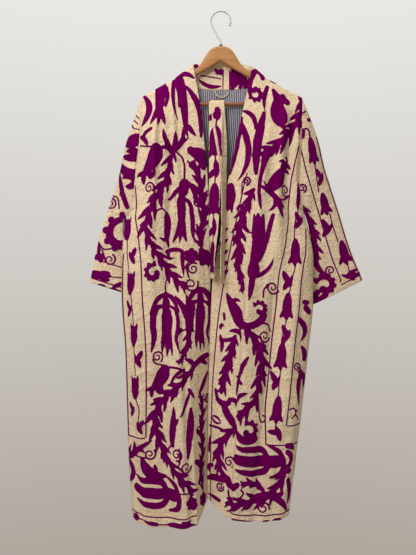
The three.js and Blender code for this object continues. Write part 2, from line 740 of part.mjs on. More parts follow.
// A steel hook with a short collar where it stands on the wood.
function makeHook() {
  const centreZ = HOOK_WIRE - HOOK_RADIUS;
  const centres = [
    new THREE.Vector3(0, 0, -89.6),
    new THREE.Vector3(0, 0, -85),
    new THREE.Vector3(0, 0, -84.4),
    new THREE.Vector3(-0.6, 0, -79),
    new THREE.Vector3(-4.5, 0, -71),
    new THREE.Vector3(-12.5, 0, -58.5),
  ];
  const radii = [4.6, 4.6, HOOK_WIRE, HOOK_WIRE, HOOK_WIRE, HOOK_WIRE];
  const [from, to, steps] = [218, -22, 24];
  for (let k = 0; k <= steps; k++) {
    const angle = THREE.MathUtils.degToRad(mix(from, to, k / steps));
    centres.push(new THREE.Vector3(HOOK_RADIUS * Math.cos(angle), 0, centreZ + HOOK_RADIUS * Math.sin(angle)));
    radii.push(HOOK_WIRE);
  }
  const last = centres.length - 1;
  const rings = centres.map((centre, i) => {
    const along = centres[Math.min(i + 1, last)].clone().sub(centres[Math.max(i - 1, 0)]).normalize();
    if (i < 3) along.set(0, 0, 1);
    const outward = new THREE.Vector3(-along.z, 0, along.x);
    return Array.from({ length: 10 }, (_, k) => {
      const angle = (k / 10) * 2 * Math.PI;
      return centre
        .clone()
        .addScaledVector(outward, radii[i] * Math.cos(angle))
        .add(new THREE.Vector3(0, radii[i] * Math.sin(angle), 0));
    });
  });
  return loft(rings);
}

function named(name, geometry, cover) {
  const mesh = new THREE.Mesh(geometry, cover.clone());
  mesh.name = name;
  return mesh;
}

// ---------------------------------------------------------------- assembly
for (const side of ["right", "left"]) {
  makeFront(side);
  makeCollar(side);
  makeSleeve(side);
}
makeBack();
shareWallDirections();

const jacket = new THREE.Group();
for (const [name, piece] of pieces) jacket.add(named(name, clothSolid(piece), piece.cover));
addLining(jacket);
jacket.add(named("belt", makeBelt(), material.suzani));
jacket.add(named("hanging_loop", makeLoop(), material.suzani));

const hanger = new THREE.Group();
hanger.add(named("hanger_wood", makeWood(), material.wood));
hanger.add(named("hanger_bar", makeBar(), material.wood));
hanger.add(named("hanger_hook", makeHook(), material.steel));

const part = new THREE.Group();
part.add(jacket, hanger);

export default part;
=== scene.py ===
# %% [markdown]
# # A suzani kimono jacket on its hanger
# A long robe of cream cotton, covered in purple chain stitch, hangs open on a flat wooden hanger.
# The script starts from a fixed frame of plain solids and dresses each one with the real surface:
# soft walls of cloth, the embroidery, the striped lining, varnished wood and bright steel.
# Sizes are millimetres, unless a comment gives another unit. Blender itself works in metres, so each
# point is scaled once.

# %% Load the frame
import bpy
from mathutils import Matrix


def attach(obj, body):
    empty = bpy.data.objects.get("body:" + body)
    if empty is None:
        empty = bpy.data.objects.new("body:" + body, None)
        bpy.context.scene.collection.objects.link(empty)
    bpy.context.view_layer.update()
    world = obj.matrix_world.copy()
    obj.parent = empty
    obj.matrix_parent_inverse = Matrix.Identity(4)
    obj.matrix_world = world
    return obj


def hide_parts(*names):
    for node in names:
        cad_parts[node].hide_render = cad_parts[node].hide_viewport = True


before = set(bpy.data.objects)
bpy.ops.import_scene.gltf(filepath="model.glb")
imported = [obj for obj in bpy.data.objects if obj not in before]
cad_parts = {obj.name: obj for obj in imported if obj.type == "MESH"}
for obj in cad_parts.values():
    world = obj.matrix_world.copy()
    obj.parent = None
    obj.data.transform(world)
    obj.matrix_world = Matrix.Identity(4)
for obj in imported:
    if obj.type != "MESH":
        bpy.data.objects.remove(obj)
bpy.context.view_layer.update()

import math

import bpy
import numpy as np
from mathutils import Vector

MM = 0.001
print("solids in the frame:", len(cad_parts))

# %% [markdown]
# ## The camera
# The jacket is seen level and straight on. A camera at chest height keeps the hem and the neck in
# proportion. Its lens could be tried out by eye. Here it is worked out instead, from how far off the
# camera stands and how much height it has to show at "plane_y", the depth of the fronts.

# %% Camera
CAMERA = {"x": -34, "away": 1450, "z": -704, "seen_height": 1451, "sensor": 36.0, "plane_y": -20}
camera_data = bpy.data.cameras.new("studio_camera")
camera_data.sensor_width = CAMERA["sensor"]
camera_data.lens = CAMERA["sensor"] * CAMERA["away"] / CAMERA["seen_height"]
camera = bpy.data.objects.new("studio_camera", camera_data)
camera.location = Vector((CAMERA["x"], CAMERA["plane_y"] - CAMERA["away"], CAMERA["z"])) * MM
camera.rotation_euler = (math.radians(90), 0, 0)
bpy.context.scene.collection.objects.link(camera)
bpy.context.scene.camera = camera
print("lens", round(camera_data.lens, 1), "mm")

# %% [markdown]
# ## Tables that bend smoothly
# A garment's outline is easiest to write as a few measured rows. Between two rows the value follows
# a smooth curve that never swings past its neighbours, so a table of ten rows gives a whole seam.


# %% Read a table as a smooth curve
def number_rows(text):
    return [[float(v) for v in line.split()] for line in text.strip().splitlines()]


def curve_table(columns, rows):
    """A function that reads named columns at any key. Rows are lists, or lines of text."""
    rows = number_rows(rows) if isinstance(rows, str) else rows
    keys = np.array([row[0] for row in rows], float)
    values = np.array(rows, float)
    if keys[0] > keys[-1]:
        keys, values = keys[::-1], values[::-1]
    steps = np.diff(values, axis=0) / np.diff(keys)[:, None]
    before, after = steps[:-1], steps[1:]
    total = before + after
    inner = np.where(before * after > 0, 2 * before * after / np.where(total == 0, 1, total), 0)
    slopes = np.vstack([steps[:1], inner, steps[-1:]])

    def read(key):
        key = np.clip(key, keys[0], keys[-1])
        i = np.clip(np.searchsorted(keys, key) - 1, 0, len(keys) - 2)
        span = (keys[i + 1] - keys[i])[..., None]
        t = (key - keys[i])[..., None] / span
        found = (
            values[i] * (1 + 2 * t) * (1 - t) ** 2
            + slopes[i] * span * t * (1 - t) ** 2
            + values[i + 1] * t * t * (3 - 2 * t)
            + slopes[i + 1] * span * t * t * (t - 1)
        )
        return {name: found[..., c] for c, name in enumerate(columns.split())}

    return read


def mix(a, b, t):
    return a + (b - a) * t


def smooth(t):
    t = np.clip(t, 0, 1)
    return t * t * (3 - 2 * t)


def quarter_round(t):
    return np.sqrt(1 - (1 - np.clip(t, 0, 1)) ** 2)


print("a curve halfway:", curve_table("z x", [[0, 0], [10, 4]])(np.array([5.0]))["x"])

# %% [markdown]
# ## The garment's seams
# The same rows as in the solids: each side's outline, the shawl band's seam and free edge, the band
# round the back of the neck, and the sleeves. "Right" and "left" are the wearer's.

# %% Main sizes
CLOTH = 1.7
BAND_CLOTH = 2.6
NECK_X = 122
NECK_Z = -178
SHOULDER_SLOPE = 0.553
SHOULDER_X = {"right": -207, "left": 214}
RIDGE_Y = 9.6
RIDGE_Z = 10.8
UNDERARM_SHARE = 0.272
HEM_SIDE_Z = {"right": -1335, "left": -1327}
HEM_SEAM_Z = {"right": -1338, "left": -1318}
HEM_BACK_RISE = 34
HEM_FRONT_DIP = 9
ARMHOLE_BULGE = 8
ROLL_ABOVE_UNDERARM = 7
SIDE_ROLL_SHARE = 0.14
FRONT_ROLL = 15
BACK_ROLL = 17
CENTRE_BACK_X = 5

# %% Side outlines
SIDE = {
    "right": curve_table("z x y", """
-225 -207 0
-335 -214 -2
-406 -222 -4
-465 -228 -6
-500 -232 -8
-527 -238 -10
-560 -250 -11
-600 -257 -12
-640 -260 -12
-750 -261 -13
-900 -252 -11
-1100 -246 -9
-1335 -233 -8
"""),
    "left": curve_table("z x y", """
-229 214 0
-339 212 -2
-445 206 -5
-527 217 -10
-590 233 -12
-656 243 -13
-770 242 -13
-895 230 -11
-1054 213 -9
-1180 197 -8
-1327 180 -7
"""),
}

# %% Shawl band on the fronts
BAND_FRONT = {
    "right": curve_table("drop seam_x seam_y edge_x edge_y edge_z", """
0 -122 0 -74 0 -138
5 -122 -1 -74 -7 -142
11 -122 -2 -73 -11 -150
30 -121 -4 -69 -13 -172
65 -118 -8 -61 -13 -214
105 -115 -12 -54 -12 -262
165 -110 -16 -46 -11 -332
230 -105 -16 -38 -10 -405
320 -100 -17 -32 -10 -496
425 -98 -18 -29 -8 -602
540 -94 -21 -28 -1 -716
700 -86 -34 -28 6 -870
850 -78 -40 -30 9 -1014
1160 -61 -41 -34 10 -1291
"""),
    "left": curve_table("drop seam_x seam_y edge_x edge_y edge_z", """
0 122 0 83 0 -143
5 122 -1 83 -7 -146
11 122 -2 82 -11 -153
30 123 -5 78 -13 -176
65 121 -10 70 -13 -212
105 117 -15 60 -12 -258
165 108 -19 44 -11 -332
255 96 -21 24 -10 -428
322 85 -21 11 -9 -496
415 68 -19 -1 -8 -590
480 57 -17 -12 -6 -656
540 48 -15 -22 -5 -716
640 40 -19 -27 -4 -818
850 28 -29 -33 -1 -1028
1140 12 -36 -36 1 -1288
"""),
}

# %% Shawl band round the back of the neck
BAND_BACK_COLUMNS = "share seam_x seam_y seam_z edge_x edge_y edge_z"
BAND_BACK = {
    "right": curve_table(
        BAND_BACK_COLUMNS,
        [
            [0, -122, 0, -178, -74, 0, -138],
            [0.12, -119, 11, -182, -74, 10, -136.5],
            [0.24, -109, 13, -187, -70, 15, -134],
            [0.5, -74, 15, -197, -48, 19, -130],
            [0.75, -34, 15.4, -202, -21, 21, -127],
            [1, CENTRE_BACK_X, 15.5, -203, CENTRE_BACK_X, 22, -126],
        ],
    ),
    "left": curve_table(
        BAND_BACK_COLUMNS,
        [
            [0, 122, 0, -178, 83, 0, -143],
            [0.12, 119, 11, -182, 82, 10, -141],
            [0.24, 110, 13, -187, 78, 15, -139],
            [0.5, 77, 15, -197, 55, 19, -133],
            [0.75, 41, 15.4, -202, 30, 21, -128],
            [1, CENTRE_BACK_X, 15.5, -203, CENTRE_BACK_X, 22, -126],
        ],
    ),
}

# %% Sleeves from the armhole to the cuff
SLEEVE_COLUMNS = "share top_x top_y top_z under_x under_y under_z half"
SLEEVE = {
    "right": curve_table(SLEEVE_COLUMNS, """
0 -207 0 -225 -238 -10 -527 20
0.16 -236 4 -302 -259 6 -558 21
0.28 -254 7 -358 -260 15 -590 20
0.42 -270 10 -429 -252 26 -622 18
0.62 -302 15 -527 -233 37 -668 16
0.83 -333 19 -628 -201 43 -724 15
1 -350 20 -716 -170 47 -774 15
"""),
    "left": curve_table(SLEEVE_COLUMNS, """
0 214 0 -229 217 -10 -527 20
0.14 243 3 -296 231 1 -560 21
0.24 259 5 -341 237 10 -584 20
0.37 275 8 -405 240 20 -615 19
0.61 314 13 -524 236 31 -680 17
0.82 346 17 -624 227 38 -738 15
1 381 19 -710 212 42 -795 15
"""),
}

# %% [markdown]
# ## Folds
# Heavy cotton on a hanger falls in long soft folds. A cloth simulation would find folds of its own.
# A table puts each one where it hangs, so every large fold is a row: where it starts and ends across
# the panel, how far it stands out and how wide it is. The small unevenness of washed cloth is a
# smooth random field, stretched down the garment as gravity stretches it.

# %% Large folds
FOLD_COLUMNS = ["z_top", "across_top", "z_foot", "across_foot", "out", "wide_side", "wide_seam"]
FOLDS = {
    "front_right": number_rows("""
-236 0.42 -900 0.5 14 0.2 0.11
-260 0.8 -1000 0.72 -10 0.12 0.14
-620 0.2 -1500 0.24 12 0.13 0.16
-700 0.86 -1500 0.84 15 0.2 0.09
-800 0.55 -1500 0.6 -12 0.15 0.12
-520 0.05 -980 0.1 -6 0.1 0.1
-420 0.93 -820 0.9 -8 0.08 0.06
"""),
    "front_left": number_rows("""
-236 0.5 -760 0.6 10 0.15 0.12
-250 0.28 -620 0.36 -9 0.13 0.13
-290 0.985 -900 0.89 16 0.26 0.035
-640 0.9 -1500 0.925 21 0.26 0.035
-560 0.22 -1250 0.3 12 0.12 0.16
-640 0.52 -1500 0.58 -12 0.14 0.1
-900 0.12 -1500 0.16 8 0.1 0.14
"""),
    "back": number_rows("""
-250 0.2 -1100 0.23 10 0.07 0.05
-300 0.33 -1500 0.36 -12 0.07 0.08
-420 0.5 -1500 0.49 18 0.1 0.06
-300 0.66 -1500 0.63 -10 0.08 0.07
-260 0.8 -1200 0.77 12 0.05 0.07
-860 0.88 -1500 0.9 -9 0.07 0.06
-900 0.1 -1500 0.1 -8 0.06 0.06
"""),
}


# How quickly a fold rises from its top and dies away towards its foot.
FOLD_RISE = 5
FOLD_FALL = 3


def folds_at(name, across, z):
    """How far the large folds of one panel stand out, each as a soft bell across the cloth."""
    out = np.zeros(np.broadcast(across, z).shape)
    for row in FOLDS[name]:
        fold = dict(zip(FOLD_COLUMNS, row))
        along = np.clip((z - fold["z_top"]) / (fold["z_foot"] - fold["z_top"]), 0, 1)
        centre = mix(fold["across_top"], fold["across_foot"], along)
        away = across - centre
        away = away / np.where(away < 0, fold["wide_side"], fold["wide_seam"])
        rise, fall = smooth(along * FOLD_RISE), smooth((1 - along) * FOLD_FALL)
        out += fold["out"] * rise * fall * np.exp(-2 * away * away)
    return out


print("large folds:", {name: len(rows) for name, rows in FOLDS.items()})

# %% Small unevenness
LATTICE = 64


def soft_noise(u, v, seed):
    """Smooth random values from -1 to 1, one cell wide, the same on every run."""
    lattice = np.random.default_rng(seed).uniform(-1, 1, (LATTICE, LATTICE))
    ui, vi = np.floor(u).astype(int), np.floor(v).astype(int)
    fu, fv = smooth(u - ui), smooth(v - vi)
    pick = lambda i, j: lattice[i % LATTICE, j % LATTICE]
    low = mix(pick(ui, vi), pick(ui + 1, vi), fu)
    high = mix(pick(ui, vi + 1), pick(ui + 1, vi + 1), fu)
    return mix(low, high, fv)


# Each row: cell width, cell height, depth, seed. Cells wider than high run across, as wear does.
RUMPLES = [
    [38, 210, 3.0, 11],
    [19, 90, 1.5, 12],
    [60, 26, 0.9, 13],
    [11, 34, 0.6, 14],
    [26, 9, 0.4, 15],
]
# The random field starts this many cells in, leans this much, and has other seeds for each part.
RUMPLE_FROM = 100
RUMPLE_LEAN = 0.25
SEEDS_APART = 20
# Sharp creases left by folding it away: from x, z to x, z, and how far each stands out.
CREASES = number_rows("""
-236 -631 -196 -622 1.3
-236 -817 -166 -784 1.8
-230 -878 -172 -866 1.6
-246 -962 -166 -932 2.0
-240 -1000 -182 -979 1.6
-226 -742 -176 -734 1.2
110 -961 216 -960 1.9
160 -876 214 -868 1.6
176 -1030 214 -1022 1.2
150 -640 232 -622 1.3
""")
CREASE_HALF = 3.6
CREASE_END = 0.3


def packing_creases(x, z):
    out = np.zeros_like(x)
    for x1, z1, x2, z2, deep in CREASES:
        length = math.hypot(x2 - x1, z2 - z1)
        ux, uz = (x2 - x1) / length, (z2 - z1) / length
        along = (x - x1) * ux + (z - z1) * uz
        away = ((z - z1) * ux - (x - x1) * uz) / CREASE_HALF
        fade = CREASE_END * length
        ends = smooth(along / fade) * smooth((length - along) / fade)
        out += deep * ends * np.exp(-away * away)
    return out


def rumple(x, z, part):
    total = np.zeros_like(x)
    for width, height, deep, seed in RUMPLES:
        u, v = x / width + RUMPLE_FROM, (z + RUMPLE_LEAN * x) / height + RUMPLE_FROM
        total += deep * soft_noise(u, v, seed + SEEDS_APART * part)
    return total


print("rumple of one point:", round(float(rumple(np.zeros(1), np.zeros(1), 0)[0]), 2), "mm")

# %% [markdown]
# ## Cloth as grids of points
# A sewn panel is a rectangle of cloth, so a grid of points suits it: rows run down the garment and
# columns run across it. Neighbouring panels read their shared seam from the same table, and fronts,
# back, band and sleeves share the same rows, which keeps the seams closed however the cloth folds.

# %% Rows down the body
STEP = 2.75
RIDGE_ROWS = 7
# Lengths that set how many steps a panel gets: across a front and the band, along the band round
# the neck, along a shoulder, round half of the back's neck, and down a sleeve.
SPANS = {"front": 190, "band": 84, "band_neck": 150, "shoulder": 60, "half_neck": 84, "sleeve": 400}


def steps_over(span):
    return int(SPANS[span] / STEP)


def row_shares(step):
    """Shares of the way from shoulder to hem, closest together over the rounded shoulder ridge."""
    length = NECK_Z - SHOULDER_SLOPE * (-SHOULDER_X["right"] - NECK_X) - HEM_SIDE_Z["right"]
    turns = [k / RIDGE_ROWS * math.pi / 2 for k in range(RIDGE_ROWS + 1)]
    ridge = [RIDGE_Z * (1 - math.cos(turn)) / length for turn in turns]
    armhole = np.linspace(ridge[-1], UNDERARM_SHARE, int((UNDERARM_SHARE - ridge[-1]) * length / step))
    closing = UNDERARM_SHARE - (UNDERARM_SHARE - armhole[-2]) * np.array([0.5, 0.2])
    skirt = np.linspace(UNDERARM_SHARE, 1, int((1 - UNDERARM_SHARE) * length / step))
    return np.concatenate([ridge, armhole[1:-1], closing, skirt])


SHARES = row_shares(STEP)
UNDERARM_ROW = int(np.searchsorted(SHARES, UNDERARM_SHARE - 1e-9))
print("rows:", len(SHARES), "underarm at row", UNDERARM_ROW)

# %% Points on the seams
# Shares of the armhole's depth: where its opening starts to close and over how much, sharply at the
# seam itself and softly for the cloth beside it, and where the side starts to roll.
CLOSE_FROM = 0.78
CLOSE_OVER = 0.22
SOFT_FROM = 0.55
SOFT_OVER = 1.1
ROLL_FROM = 0.7
ROLL_OVER = 0.8


def stack(x, y, z):
    return np.stack(np.broadcast_arrays(x, y, z), axis=-1).astype(float)


def shoulder_z(x):
    return NECK_Z - SHOULDER_SLOPE * (np.abs(x) - NECK_X)


def roll_below_underarm(share):
    return smooth((share - ROLL_FROM * UNDERARM_SHARE) / (ROLL_OVER * UNDERARM_SHARE))


def side_half(side, share, soft=False):
    """Half the opening of the armhole, which closes to nothing at the underarm."""
    drop = share * (shoulder_z(SHOULDER_X[side]) - HEM_SIDE_Z[side])
    along = share / UNDERARM_SHARE
    half = RIDGE_Y * quarter_round(drop / RIDGE_Z) + ARMHOLE_BULGE * np.sin(np.pi * np.clip(along, 0, 1))
    if soft:
        return half * (1 - smooth((along - SOFT_FROM) / SOFT_OVER))
    closing = np.clip(along - CLOSE_FROM, 0, None) / CLOSE_OVER
    return np.where(along >= 1, 0, half * np.sqrt(np.clip(1 - closing**2, 0, 1)))


def side_point(side, share, face):
    """A point of the side seam, moved to the front (-1) or the back (1) of the armhole."""
    z = mix(shoulder_z(SHOULDER_X[side]), HEM_SIDE_Z[side], share)
    at = SIDE[side](z)
    return stack(at["x"], at["y"] + face * side_half(side, share), z)


def seam_point(side, share):
    """A point of the seam between a front and its band."""
    z = mix(NECK_Z, HEM_SEAM_Z[side], share)
    at = BAND_FRONT[side](NECK_Z - z)
    return stack(at["seam_x"], at["seam_y"] - RIDGE_Y * quarter_round((NECK_Z - z) / RIDGE_Z), z)


def edge_point(side, share):
    """A point of the band's free edge."""
    at = BAND_FRONT[side](share * (NECK_Z - HEM_SEAM_Z[side]))
    return stack(at["edge_x"], at["edge_y"], at["edge_z"])


print("the right front's seam at the hem:", seam_point("right", 1.0).round(1), "mm")

# %% Points on a front
# How far the chest fills out, and by which drop below the shoulder each form has reached its full
# size. Near a seam the cloth is held, so it stays calm for the first few millimetres.
FRONT = {"full": 6, "full_by": 120, "roll_by": 90, "roll_share": 0.12, "calm_seam": 26, "calm_by": 40}
SOFT_SIDE = 0.25
HELD_EDGES = 2.5


def front_grid(side, columns):
    across = np.linspace(0, 1, columns + 1)[None, :]
    share = SHARES[:, None]
    a = side_point(side, SHARES, 0)[:, None, :]
    b = seam_point(side, SHARES)[:, None, :]
    p = mix(a, b, across[..., None])
    sharp = side_half(side, SHARES)[:, None]
    soft = side_half(side, SHARES, soft=True)[:, None]
    p[..., 1] -= (1 - across) * mix(sharp, soft, smooth(across / SOFT_SIDE))
    inside = np.sin(np.pi * across)
    drop = shoulder_z(p[..., 0]) - p[..., 2]
    fullness = FRONT["full"] * smooth(drop / FRONT["full_by"]) * inside
    below = roll_below_underarm(share)
    roll = FRONT_ROLL * below * quarter_round(across / SIDE_ROLL_SHARE)
    roll = roll * (1 - smooth((across - 0.5) / 0.5))
    above = ROLL_ABOVE_UNDERARM * (1 - below) * smooth(drop / FRONT["roll_by"])
    roll = roll + above * quarter_round(across / FRONT["roll_share"]) * smooth(inside * 3)
    folds = folds_at("front_" + side, across, p[..., 2]) * smooth(inside * HELD_EDGES)
    from_seam = np.minimum(across, 1 - across) * SPANS["front"]
    calm = smooth(from_seam / FRONT["calm_seam"]) * smooth(drop / FRONT["calm_by"])
    p[..., 1] -= fullness + roll + folds + rumple(p[..., 0], p[..., 2], 0) * calm
    p[..., 1] -= packing_creases(p[..., 0], p[..., 2])
    p[..., 2] -= HEM_FRONT_DIP * inside * share**3
    return p


print("points on a front:", len(SHARES) * (steps_over("front") + 1))

# %% Points on the back
BACK = {"width": 440, "middle_y": 15.5, "belly": 10, "belly_by": 700, "settle_by": 60}
BACK_CALM = {"seam": 30, "by": 40}
BACK_SIDE = 0.2
SIDE_CURVE = 1.6
HEM_CURVE = 1.2


def band_back(side, share):
    """The band's seam and free edge round the back of the neck."""
    at = BAND_BACK[side](share)
    seam = stack(at["seam_x"], at["seam_y"], at["seam_z"])
    edge = stack(at["edge_x"], at["edge_y"], at["edge_z"])
    return seam, edge


def back_top(shoulder_columns, neck_stations):
    """The back's upper edge: along one shoulder, round the neck and along the other shoulder."""
    x = np.linspace(SHOULDER_X["right"], -NECK_X, shoulder_columns + 1)[:-1]
    right = stack(x, 0, shoulder_z(x))
    neck_right = band_back("right", np.linspace(0, 1, neck_stations + 1))[0]
    neck_left = band_back("left", np.linspace(1, 0, neck_stations + 1)[1:])[0]
    x = np.linspace(NECK_X, SHOULDER_X["left"], shoulder_columns + 1)[1:]
    left = stack(x, 0, shoulder_z(x))
    return np.concatenate([right, neck_right, neck_left, left])


def back_grid(shoulder_columns, neck_stations):
    top = back_top(shoulder_columns, neck_stations)[None, :, :]
    share = SHARES[:, None]
    across = (top[..., 0] - SHOULDER_X["right"]) / (SHOULDER_X["left"] - SHOULDER_X["right"])
    a = side_point("right", SHARES, 1)[:, None, :]
    b = side_point("left", SHARES, 1)[:, None, :]
    inside = np.sin(np.pi * across)
    hem = mix(HEM_SIDE_Z["right"], HEM_SIDE_Z["left"], across) + HEM_BACK_RISE * smooth(inside * HEM_CURVE)
    z = mix(top[..., 2], hem, share)
    drop = top[..., 2] - z
    ridge = RIDGE_Y * quarter_round(drop / RIDGE_Z)
    near_side = np.minimum(across, 1 - across) / BACK_SIDE
    side_y = mix(a[..., 1], b[..., 1], across)
    middle_y = BACK["middle_y"] + BACK["belly"] * smooth(drop / BACK["belly_by"])
    rolled = side_y + BACK_ROLL * roll_below_underarm(share) * quarter_round(near_side * SIDE_CURVE)
    flat = mix(rolled, middle_y, smooth(near_side))
    settle = smooth(drop / BACK["settle_by"])
    folds = folds_at("back", across, z) * smooth(inside * HELD_EDGES) * settle
    x = mix(a[..., 0], b[..., 0], across)
    from_side = np.minimum(across, 1 - across) * BACK["width"]
    calm = smooth(from_side / BACK_CALM["seam"]) * smooth(drop / BACK_CALM["by"])
    y = mix(np.maximum(top[..., 1], ridge), flat, settle) + folds + rumple(x, z, 1) * calm
    p = stack(x, y, z)
    p[:, 0] = a[:, 0]
    p[:, -1] = b[:, 0]
    p[0] = top[0]
    return p


print("stations round the back of the neck:", 2 * steps_over("half_neck"))

# %% Points on the shawl band
# The folded band bows out a little between its seam and its edge, and is calm over the shoulder.
BAND = {"bow": 2.2, "bow_shape": 0.8, "rough": 0.6, "bow_by": 50, "rumple_aside": 400}


def band_grid(side, columns, stations):
    front_seam = seam_point(side, SHARES[::-1])
    front_edge = edge_point(side, SHARES[::-1])
    back_seam, back_edge = band_back(side, np.linspace(0, 1, stations + 1)[1:])
    seam = np.concatenate([front_seam, back_seam])[:, None, :]
    edge = np.concatenate([front_edge, back_edge])[:, None, :]
    across = np.linspace(0, 1, columns + 1)[None, :, None]
    p = mix(seam, edge, across)
    bow = np.sin(np.pi * np.clip(across, 0, 1)) ** BAND["bow_shape"]
    drop = np.clip(NECK_Z - p[..., 2:3], 0, None)
    rough = rumple(p[..., 0] + BAND["rumple_aside"], p[..., 2], 0)[..., None]
    push = (BAND["bow"] * bow + BAND["rough"] * rough * bow) * smooth(drop / BAND["bow_by"])
    p[..., 1] -= push[..., 0]
    return p


print("points on one half of the band:", (len(SHARES) + steps_over("band_neck")) * (steps_over("band") + 1))

# %% Points on a sleeve
# Shares of the way from the armhole to the cuff: where the sleeve stands off the armhole's seam, and
# where it has come down again. A slanting crease runs in from the underarm.
SLEEVE_PUFF = {"out": 5, "rise": 0.05, "from": 0.08, "over": 0.3}
SLEEVE_CREASE = {"out": 2.6, "at": 0.75, "lean": 0.5, "half": 0.1}
ARMHOLE_FADES = 1.15
DEPTH_FADES = 3
TUBE_SHAPE = 0.6


def sleeve_grid(side, rings):
    shares = SHARES[: UNDERARM_ROW + 1]
    loop = np.concatenate([shares, shares[-2:0:-1]])[None, :]
    face = np.concatenate([-np.ones(len(shares)), np.ones(len(shares) - 2)])[None, :]
    hole = np.concatenate([side_point(side, shares, -1), side_point(side, shares[-2:0:-1], 1)])[None]
    along = np.linspace(0, 1, rings + 1)[:, None]
    at = SLEEVE[side](along)
    start = SLEEVE[side](np.zeros((1, 1)))
    under = loop / UNDERARM_SHARE
    round_tube = np.sin(np.pi * under)
    span = lambda table, axis: mix(table["top_" + axis], table["under_" + axis], under)
    left = 1 - smooth(along * ARMHOLE_FADES)
    x = span(at, "x") + (hole[..., 0] - span(start, "x")) * left
    z = span(at, "z") + (hole[..., 2] - span(start, "z")) * left
    tube = span(at, "y") + face * at["half"] * round_tube**TUBE_SHAPE
    hole_y = hole[..., 1] + span(at, "y") - span(start, "y")
    y = mix(tube, hole_y, 1 - smooth(along * DEPTH_FADES))
    rise = quarter_round(along / SLEEVE_PUFF["rise"])
    fall = 1 - smooth((along - SLEEVE_PUFF["from"]) / SLEEVE_PUFF["over"])
    y += face * SLEEVE_PUFF["out"] * rise * fall * round_tube
    calm = smooth(round_tube * 2) * smooth(along * 6)
    y += face * rumple(x, z, 2) * calm
    from_crease = (under - SLEEVE_CREASE["at"] + SLEEVE_CREASE["lean"] * along) / SLEEVE_CREASE["half"]
    creases = SLEEVE_CREASE["out"] * np.exp(-(from_crease**2)) * smooth(along * 4)
    y += face * creases * calm * (1 - along)
    p = stack(x, y, z)
    p[0] = hole[0]
    return p, face


print("points round an armhole:", 2 * UNDERARM_ROW)

# %% [markdown]
# ## The embroidery as a distance
# Chain stitch fills a shape in rows that follow its outline. So for every point of the cloth the
# script works out how deep it lies inside the nearest embroidered stroke. That one number places the
# edge of the thread, lifts it off the cloth and draws the rows of stitches. A second number runs
# along the stroke, for the links of the chain. Every motif is a few tapering strokes, as a
# pattern drawer makes them with a pen: a petal is a stroke that swells in the middle.

# %% Strokes
THINNEST = 0.002


def bend_through(points, per_span=6):
    """A smooth path through the given points, as rows of x, z, width."""
    p = np.array(points, float)
    if len(p) == 1:
        return np.vstack([p, p + [0.01, 0, 0]])
    padded = np.vstack([2 * p[0] - p[1], p, 2 * p[-1] - p[-2]])
    t = np.linspace(0, 1, per_span, endpoint=False)[:, None]
    spans = []
    for k in range(1, len(padded) - 2):
        a, b, c, d = padded[k - 1 : k + 3]
        square, cube = 2 * a - 5 * b + 4 * c - d, 3 * b - a - 3 * c + d
        spans.append(0.5 * (2 * b + (c - a) * t + square * t**2 + cube * t**3))
    path = np.vstack(spans + [p[-1:]])
    path[:, 2] = np.clip(path[:, 2], THINNEST, None)
    return path


class Stitching:
    """The embroidery of one panel: how deep each point lies in the thread, and how far along."""

    FAR = -9.0
    NOWHERE = -1e3

    def __init__(self, flat):
        self.flat = flat.reshape(-1, 2)
        self.depth = np.full(len(self.flat), self.FAR)
        self.along = np.zeros(len(self.flat))
        self.strokes = 0

    def stroke(self, path):
        """Work one stroke: a path of x, z and half width. The deepest stroke wins at each point."""
        reach = path[:, 2].max() - self.FAR
        low, high = path[:, :2].min(0) - reach, path[:, :2].max(0) + reach
        inside = np.all((self.flat > low) & (self.flat < high), axis=1)
        near = np.nonzero(inside)[0]
        if not len(near):
            return
        p = self.flat[near]
        best = np.full(len(near), self.NOWHERE)
        along = np.zeros(len(near))
        length = 0.0
        for a, b in zip(path[:-1], path[1:]):
            ab = b[:2] - a[:2]
            size = float(np.hypot(*ab)) + 1e-9
            t = np.clip((p - a[:2]) @ ab / size**2, 0, 1)
            depth = mix(a[2], b[2], t) - np.linalg.norm(p - a[:2] - t[:, None] * ab, axis=1)
            closer = depth > best
            best = np.where(closer, depth, best)
            along = np.where(closer, length + t * size, along)
            length += size
        closer = best > self.depth[near]
        self.depth[near] = np.where(closer, best, self.depth[near])
        self.along[near] = np.where(closer, along, self.along[near])
        self.strokes += 1

    def split(self, counts):
        """One result for each panel, in the order in which their points were given."""
        parts, start = [], 0
        for count in counts:
            part = Stitching(self.flat[start : start + count])
            part.depth = self.depth[start : start + count]
            part.along = self.along[start : start + count]
            parts.append(part)
            start += count
        return parts


print("a stroke of three points has", len(bend_through([[0, 0, 1], [1, 1, 2], [2, 0, 1]])), "stations")

# %% [markdown]
# ## A pattern drawer's set of motifs
# Suzani work repeats a small family of shapes: hanging tulips, cup tulips on a long stem, leafy vines
# with toothed edges, spirals, scalloped curls, buds and birds. Each is drawn once, about a
# hundred units tall, as strokes of x, z and half width, then placed, turned and scaled on the cloth.


# %% Read the library
def read_motifs(text):
    """A named line starts a motif. Each line below it is one stroke, its points between upright bars."""
    motifs = {}
    for line in text.strip().splitlines():
        if "|" in line:
            strokes.append([[float(v) / 100 for v in point.split()] for point in line.split("|")])
        else:
            strokes = motifs[line.split(":")[0]] = []
    print("motifs read:", ", ".join(motifs))
    return motifs


print("one stroke:", read_motifs("drop:\n0 0 30|0 50 10"))

